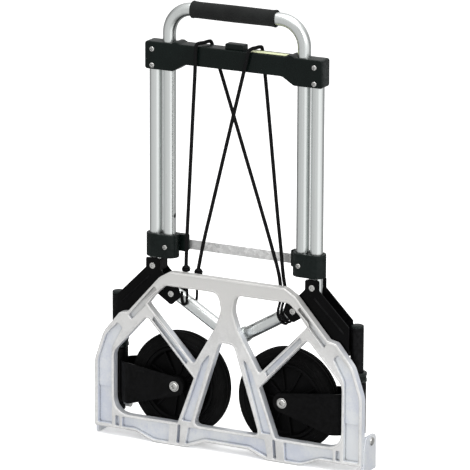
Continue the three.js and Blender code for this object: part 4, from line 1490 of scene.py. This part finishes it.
class CART_OT_brackets(bpy.types.Operator):
    """Adds the pressed side brackets and their bolts"""

    bl_idname = "cart.brackets"
    bl_label = "Side brackets"

    def execute(self, context):
        ear = UPPER_BOLT.x + 12.5
        cheek = rounded([
            (133, 309, 4), (ear, 309, 3), (ear, 292.5, 2), (212, 238.5), (212, 181.5),
            (141, 252.5, 4), (BRACE_BOLT.x, 233, 6), (94, 249, 8), (98, 266, 14), (122, 281, 14),
            (133, 292, 8),
        ])
        holes = [
            circle(4.4, UPPER_BOLT.x, UPPER_BOLT.z, 24),
            circle(4.4, BRACE_BOLT.x, BRACE_BOLT.z, 24),
        ]
        front = slab("cheek_front", cheek, -BRACKET_HALF, -BRACKET_HALF + SHEET, 0.5, holes)
        rear = slab("cheek_rear", cheek, BRACKET_HALF - SHEET, BRACKET_HALF, 0.5, holes)
        clear = slab("fork clearance", rounded([(206.5, 150), (220, 150), (220, 260), (206.5, 260)]), 0, 20)
        carved(rear, clear)
        inner = slab(
            "bracket_web",
            rounded([(132.2, 288.5), (134.7, 288.5), (134.7, 306, 0.6), (132.2, 306, 0.6)]),
            -BRACKET_HALF + 1, BRACKET_HALF - 1, 0.3,
        )
        web = slab(
            "bracket_floor",
            rounded([(148, 245.6, 0.8), (207, 186.6, 0.8), (207, 190.2, 0.8), (148, 249.2, 0.8)]),
            -BRACKET_HALF + 1, BRACKET_HALF - 1, 0.3,
        )
        bead = wire(
            "bracket_bead",
            [(150, -BRACKET_HALF + 0.3, 279), (168, -BRACKET_HALF + 0.3, 261.5),
             (186, -BRACKET_HALF + 0.3, 244), (203, -BRACKET_HALF + 0.3, 227.5)],
            1.5, fineness=3, steps=3,
        )
        bracket = joined("bracket", front, rear, inner, web, bead)
        settle_pair(bracket, "pressed_bracket", "frame", "black_steel", black_paint(), "side_bracket")
        for node, spot in (("bracket_bolt", UPPER_BOLT), ("brace_bolt", BRACE_BOLT)):
            bolt = socket_bolt(node, 5.4, 4, -BRACKET_HALF - CLEARANCE, BRACKET_HALF + CLEARANCE)
            bolt.data.transform(Matrix.Rotation(0.3, 4, "Y"))
            bolt.data.transform(Matrix.Translation(Vector((spot.x, 0, spot.z)) * MM))
            settle_pair(bolt, f"{node}_set", "frame", "zinc_fasteners", zinc(), node)
        return {"FINISHED"}


class CART_OT_brace(bpy.types.Operator):
    """Adds the two brace tubes and the pressed joint between them"""

    bl_idname = "cart.brace"
    bl_label = "Brace"

    def execute(self, context):
        wall = sizes().tube_wall / MM
        rise = (BRACE_BOLT.z - BRACE_LOW_Z) / BRACE_BOLT.x
        slope = math.atan(rise)

        def on_brace(x, up=0.0):
            return (x, 0, BRACE_LOW_Z + abs(x) * rise + up)

        for side, s in SIDES:
            tube = pipe("brace", TUBE_RADIUS, wall, on_brace(s * 9), on_brace(s * (BRACE_BOLT.x + 9)))
            cutters = [bolt_hole(s * BRACE_BOLT.x, BRACE_BOLT.z)]
            if side == "right":
                for spot, half in ((39, 3.2), (72, 7)):
                    slot = slab("slot", upright_rectangle(half, -3, 6), -7.5, -2)
                    slot.data.transform(Matrix.Rotation(-slope, 4, "Y"))
                    above = Vector(on_brace(spot)) + Vector((-math.sin(slope), 0, math.cos(slope))) * 9
                    slot.data.transform(Matrix.Translation(above * MM))
                    cutters.append(slot)
            carved(tube, *cutters)
            lean = (0, -s * (math.pi / 2 - slope), 0)
            satin = anodised(f"Anodised aluminium, {side} brace", lean)
            name = f"diagonal_tube_{side}"
            settle(renamed(tube, name), "frame", "anodised_tube", satin, f"brace_tube_{side}")
        knee = refined("brace_joint", "brace_knee", 0.4)
        settle(knee, "frame", "anodised_tube", anodised(), "brace_joint")
        return {"FINISHED"}


# The toe plate's outline and openings, right half, as [x, z, corner radius].
PLATE_EDGE = [
    (39, 13.8, 12), (74, 0, 26), (134, 0, 26), (169, 13.8, 12), (245, 13.8, 4), (245, 128, 50),
    (228, 178, 40), (198, 214, 8), (183, 217, 6), (124, 283, 22), (105, 294.5, 16),
]
MIDDLE_OPENING = [(60.5, 40, 9), (13, 187, 12)]
SIDE_OPENING = [(90, 40, 3), (209, 40, 30), (209, 146, 26), (147, 214, 8), (60, 121, 3)]
TOP_OPENING = [
    (60, 145, 4), (148, 237, 8), (113, 270.5, 14), (16, 270.5, 16), (10, 243, 30), (20, 213, 12),
]
# Recesses between the ribs, right half, each with the places of its floors.
SIDE_RAIL = [
    (213, 20, 2), (239.5, 20, 2), (239.5, 128, 40), (224, 173, 30), (201, 197, 4), (193, 188, 4),
    (213, 152, 24),
]
SHALLOW = -28.0
DEEP = -23.0
RECESSES = [
    # outer bottom rail, groove of the leg's foot, groove beside the side rail
    ([(105, 35, 3), (194, 35, 3), (194, 18.5, 2), (171, 18.5, 14), (134, 5, 26), (107, 5, 2.5)], SHALLOW),
    ([(84.5, 37, 2), (89.5, 37, 2), (92, 5.5, 2), (86.5, 5.5, 2)], DEEP),
    ([(199, 18.5, 2), (206.5, 18.5, 2), (206.5, 36, 2), (199, 35, 2)], SHALLOW),
    # sloping rail, strut, leg
    ([(134, 267, 3), (181, 211.5, 3), (176, 204, 3), (141, 243, 4), (128, 261, 4)], SHALLOW),
    ([(75, 141, 2), (138, 207, 2), (135, 214, 2), (131, 216, 2), (70, 150, 2)], SHALLOW - 0.8),
    ([(27, 173, 4), (46, 147, 4), (82, 45, 3), (65, 45, 3)], SHALLOW - 0.8),
]
BOTTOM_RAIL = [(70, 35, 3), (76, 5.5, 2.5), (41, 18.8, 14)]


class CART_OT_toe_plate(bpy.types.Operator):
    """Adds the cast toe plate and its hinge pins"""

    bl_idname = "cart.toe_plate"
    bl_label = "Toe plate"

    def execute(self, context):
        front = PLATE_LOW.y
        edge = sizes().cast_round / MM
        outer = rounded(both_sides(PLATE_EDGE), 10)
        openings = [rounded(both_sides(MIDDLE_OPENING), 10)]
        for shape in (SIDE_OPENING, TOP_OPENING):
            openings += [rounded(shape, 10), rounded(other_side(shape), 10)]
        pockets = [(SIDE_RAIL, None), *RECESSES]
        recesses = [rounded(both_sides(BOTTOM_RAIL), 8)]
        floors = [slab("floor_bottom", recesses[0], -22.5, SHALLOW, 0, grow=0.8)]
        for shape, depth in pockets:
            for points in (shape, other_side(shape)):
                loop = rounded(points, 8)
                recesses.append(loop)
                if depth is not None and depth < DEEP + 3:
                    floors.append(slab("floor", loop, -22.5, depth, 0, grow=0.8))
        step_z = 83
        high_rail = [(212, step_z), (240.3, step_z), *SIDE_RAIL[2:-1], (212, 152, 24)]
        for points in (high_rail, other_side(high_rail)):
            floors.append(slab("floor_side", rounded(points, 8), -22.5, -28.4, 0.6, grow=0.6))
        ribs = slab("ribs", outer, front, PLATE_BACK - 1.2, edge, [*openings, *recesses])
        skin = slab("skin", outer, -23, PLATE_BACK, edge, openings, grow=-0.25)
        parts = [ribs, skin, *floors, *self.beads(front, openings), *self.ears()]
        plate = joined("cast_plate", *parts)
        settle(plate, "toe", "cast_aluminium", cast_aluminium(), "toe_plate")
        self.pins()
        return {"FINISHED"}

    def beads(self, front, openings):
        """Raised lines along the edge of every opening and round the outline."""
        radius = sizes().bead / MM
        made = []
        for number, loop in enumerate(openings):
            points = self.inset(loop, -(radius + 1.3))
            line = [(p.x, front + radius * 0.55, p.y) for p in points]
            made.append(wire(f"bead_{number}", line, radius, closed=True, fineness=2, steps=1))
        rim = self.inset(rounded(both_sides(PLATE_EDGE), 10), radius + 1.3)
        line = [(p.x, front + radius * 0.55, p.y) for p in rim]
        made.append(wire("bead_rim", line, radius, closed=True, fineness=2, steps=1))
        return made

    def inset(self, loop, distance):
        """A loop moved inwards, or outwards where the distance is negative."""
        sign = 1 if signed_area(loop) > 0 else -1
        moved = []
        count = len(loop)
        for i, here in enumerate(loop):
            before = (here - loop[i - 1]).normalized()
            after = (loop[(i + 1) % count] - here).normalized()
            along = (before + after).normalized()
            inwards = Vector((-along.y, along.x)) * sign
            moved.append(here + inwards * distance / max(0.5, along.dot(after)))
        return moved

    def ears(self):
        """The side lugs that the plate turns on, with a thick foot and a boss at the pin."""
        pin = middle("toe_pin_right")
        back = PLATE_HIGH.y
        outline = rounded([(-24, 1, 2), (back, 0, 3), (back, 60, 12), (-16, 60, 6), (-24, 40, 8)], 8)
        hole = [circle(BOLT_HOLE, pin.y, pin.z, 28)]
        made = []
        for side, s in SIDES:
            ends = sorted((s * EAR_IN, s * PLATE_HIGH.x))
            made.append(slab(f"ear_{side}", outline, *ends, 0.9, hole, "YZ"))
            toe = rounded([(-20, 0.3, 2), (back - 0.6, 0.3, 2), (back - 0.6, 9, 2), (-20, 9, 2)], 5)
            inner = sorted((s * (EAR_IN - 0.6), s * (PLATE_HIGH.x - 0.25)))
            made.append(slab(f"ear_foot_{side}", toe, *inner, 0.8, plane="YZ"))
        return made

    def pins(self):
        low = extent("toe_pin_right")[0]
        spot = middle("toe_pin_right")
        start = EAR_IN + 4.5 + CLEARANCE
        tip = low.x - start
        pin = turned(
            "toe_pin",
            [
                (0, tip), (6.4, tip), (6.4, tip + 7.4), (5.8, tip + 8), (4, tip + 8),
                (4, 0), (7, 0), (7, 0.8), (6.2, 1.7), (4.6, 2.05), (0, 2.05),
            ],
            (start, spot.y, spot.z), (1, 0, 0), 36,
        )
        settle_pair(pin, "hinge_pin", "frame", "zinc_fasteners", zinc(), "toe_pin")


class CART_OT_forks(bpy.types.Operator):
    """Adds the wheel forks with their axle bolts and nuts"""

    bl_idname = "cart.forks"
    bl_label = "Wheel forks"

    def execute(self, context):
        for side, _ in SIDES:
            fork = refined(f"wheel_fork_{side}", f"swing_fork_{side}", 0.5, 2, 32)
            settle(fork, f"fork_{side}", "black_steel", black_paint(), f"wheel_fork_{side}")
        half = 26.0
        spot = Vector((AXLE.x, 0, AXLE.z)) * MM
        head = 6.6
        bolt = turned(
            "axle",
            [
                (0, -0.2), (8.6, -0.2), (8.6, 0.7), (head, 0.9), (head, 2.6), (head - 0.5, 3.3),
                (head - 1.4, 3.6), (0, 3.6),
            ],
            (0, -half - 0.15, 0), (0, -1, 0), 36,
        )
        carved(bolt, hexagon("socket", 3.3, -half - 6, -half - 1.4, 0))
        bevelled(bolt, 0.15, 1)
        stem = turned(
            "axle_stem",
            [(0, 0), (5, 0), (5, 2 * half + 6), (4, 2 * half + 7), (0, 2 * half + 7)],
            (0, -half - 1, 0), (0, 1, 0), 28,
        )
        axle = joined("axle", bolt, stem)
        axle.data.transform(Matrix.Translation(spot))
        settle_pair(axle, "wheel_axle", "fork_{}", "zinc_fasteners", zinc(), "axle_bolt")
        nut = hexagon("nut", 8, half + CLEARANCE, half + 4.75, 0.6)
        carved(nut, rod("thread", 5.1, (0, half - 2, 0), (0, half + 8, 0), 28))
        nut.data.transform(Matrix.Translation(spot))
        settle_pair(nut, "wheel_nut", "fork_{}", "zinc_fasteners", zinc(), "axle_nut")
        return {"FINISHED"}


class CART_OT_wheels(bpy.types.Operator):
    """Adds the tyres and the ribbed wheel centres"""

    bl_idname = "cart.wheels"
    bl_label = "Wheels"

    def execute(self, context):
        wide = (WHEEL_HIGH.y - WHEEL_LOW.y) / 2
        outer = WHEEL_RADIUS
        spot = (AXLE.x, 0, AXLE.z)
        half = [
            (64.4, 11.5), (65.5, 13), (67.5, 13.4), (68.3, wide - 1.1), (70.2, wide - 0.6),
            (71, wide - 1.4), (73.5, wide - 1.2), (74.3, wide), (76.8, wide), (77.6, wide - 0.9),
            (80.4, wide - 0.9), (81.2, wide - 0.4), (83.2, wide - 0.8), (85.4, wide - 2.6),
            (86.8, wide - 5), (outer - 0.3, wide - 7.4), (outer - 1.5, wide - 7.9),
            (outer - 1.5, wide - 9.1), (outer - 0.1, wide - 9.6), (outer, 2.0), (outer - 1.4, 1.6),
            (outer - 1.5, 0),
        ]
        profile = [*half, *[(r, -y) for r, y in reversed(half[:-1])]]
        tyre = turned("tyre", profile, spot, (0, 1, 0), 96, ring=True)
        settle_pair(tyre, "solid_tyre", "wheel_{}", "tyre", tyre_rubber(), "tyre", 40)

        side = [
            (5.35, 18), (12, 18), (13.5, 17.4), (15, 15.5), (16.5, 9.5), (19, 7.8), (30, 6.8),
            (46, 6.2), (54.5, 6.0), (56.5, 7.4), (58.5, 12.4), (60, 13), (63, 13), (64, 12.2),
        ]
        disc = turned("disc", [*side, *[(r, -y) for r, y in reversed(side)]], spot, (0, 1, 0), 72, ring=True)
        ribs = []
        for face in (-1, 1):
            near, far = sorted((face * 5.5, face * 10.5))
            rib = slab("rib", rounded([(15, -1.6), (57.5, -1.4), (57.5, 1.4), (15, 1.6)]), near, far, 0.6)
            for k in range(10):
                spoke = copied(rib, f"rib_{k}")
                spoke.data.transform(Matrix.Rotation(math.tau * (k + 0.25) / 10, 4, "Y"))
                spoke.data.transform(Matrix.Translation(Vector(spot) * MM))
                ribs.append(spoke)
            bpy.data.objects.remove(rib)
        centre = joined("wheel_centre", disc, *ribs)
        settle_pair(centre, "ribbed_centre", "wheel_{}", "wheel_plastic", wheel_plastic(), "wheel_rim")
        return {"FINISHED"}


class CART_OT_lock(bpy.types.Operator):
    """Finishes the lock's pins and springs inside the crossbar"""

    bl_idname = "cart.lock"
    bl_label = "Lock"

    def execute(self, context):
        for side, _ in SIDES:
            pin = refined(f"lock_pin_{side}", f"lock_bolt_{side}", 0.3)
            settle(pin, f"pin_{side}", "zinc_fasteners", zinc(), f"lock_pin_{side}")
            dress(f"lock_spring_{side}", spring_steel())
        dress("button_spring", spring_steel())
        return {"FINISHED"}


class CART_PT_panel(bpy.types.Panel):
    """Lists the cart's pieces, sizes and colours"""

    bl_idname = "CART_PT_panel"
    bl_label = "Luggage cart"
    bl_space_type = "VIEW_3D"
    bl_region_type = "UI"
    bl_category = "Luggage cart"

    def draw(self, context):
        for step in STEPS:
            self.layout.operator(step.bl_idname)
        for group in (context.scene.cart_sizes, context.scene.cart_colours, context.scene.cart_stage):
            column = self.layout.column()
            for key in group.bl_rna.properties.keys():
                if key not in ("rna_type", "name"):
                    column.prop(group, key)


GROUP_CLASSES = (CartSizes, CartColours, CartStage)
STEPS = (
    CART_OT_stage,
    CART_OT_cords,
    CART_OT_crossbar,
    CART_OT_uprights,
    CART_OT_handle,
    CART_OT_brackets,
    CART_OT_brace,
    CART_OT_toe_plate,
    CART_OT_forks,
    CART_OT_wheels,
    CART_OT_lock,
)


def register():
    for one in (*GROUP_CLASSES, *STEPS, CART_PT_panel):
        bpy.utils.register_class(one)
    bpy.types.Scene.cart_sizes = PointerProperty(type=CartSizes)
    bpy.types.Scene.cart_colours = PointerProperty(type=CartColours)
    bpy.types.Scene.cart_stage = PointerProperty(type=CartStage)


def unregister():
    for key in ("cart_sizes", "cart_colours", "cart_stage"):
        delattr(bpy.types.Scene, key)
    for one in reversed((*GROUP_CLASSES, *STEPS, CART_PT_panel)):
        bpy.utils.unregister_class(one)


def main():
    register()
    for step in STEPS:
        group, name = step.bl_idname.split(".")
        getattr(getattr(bpy.ops, group), name)()


if __name__ == "__main__":
    main()
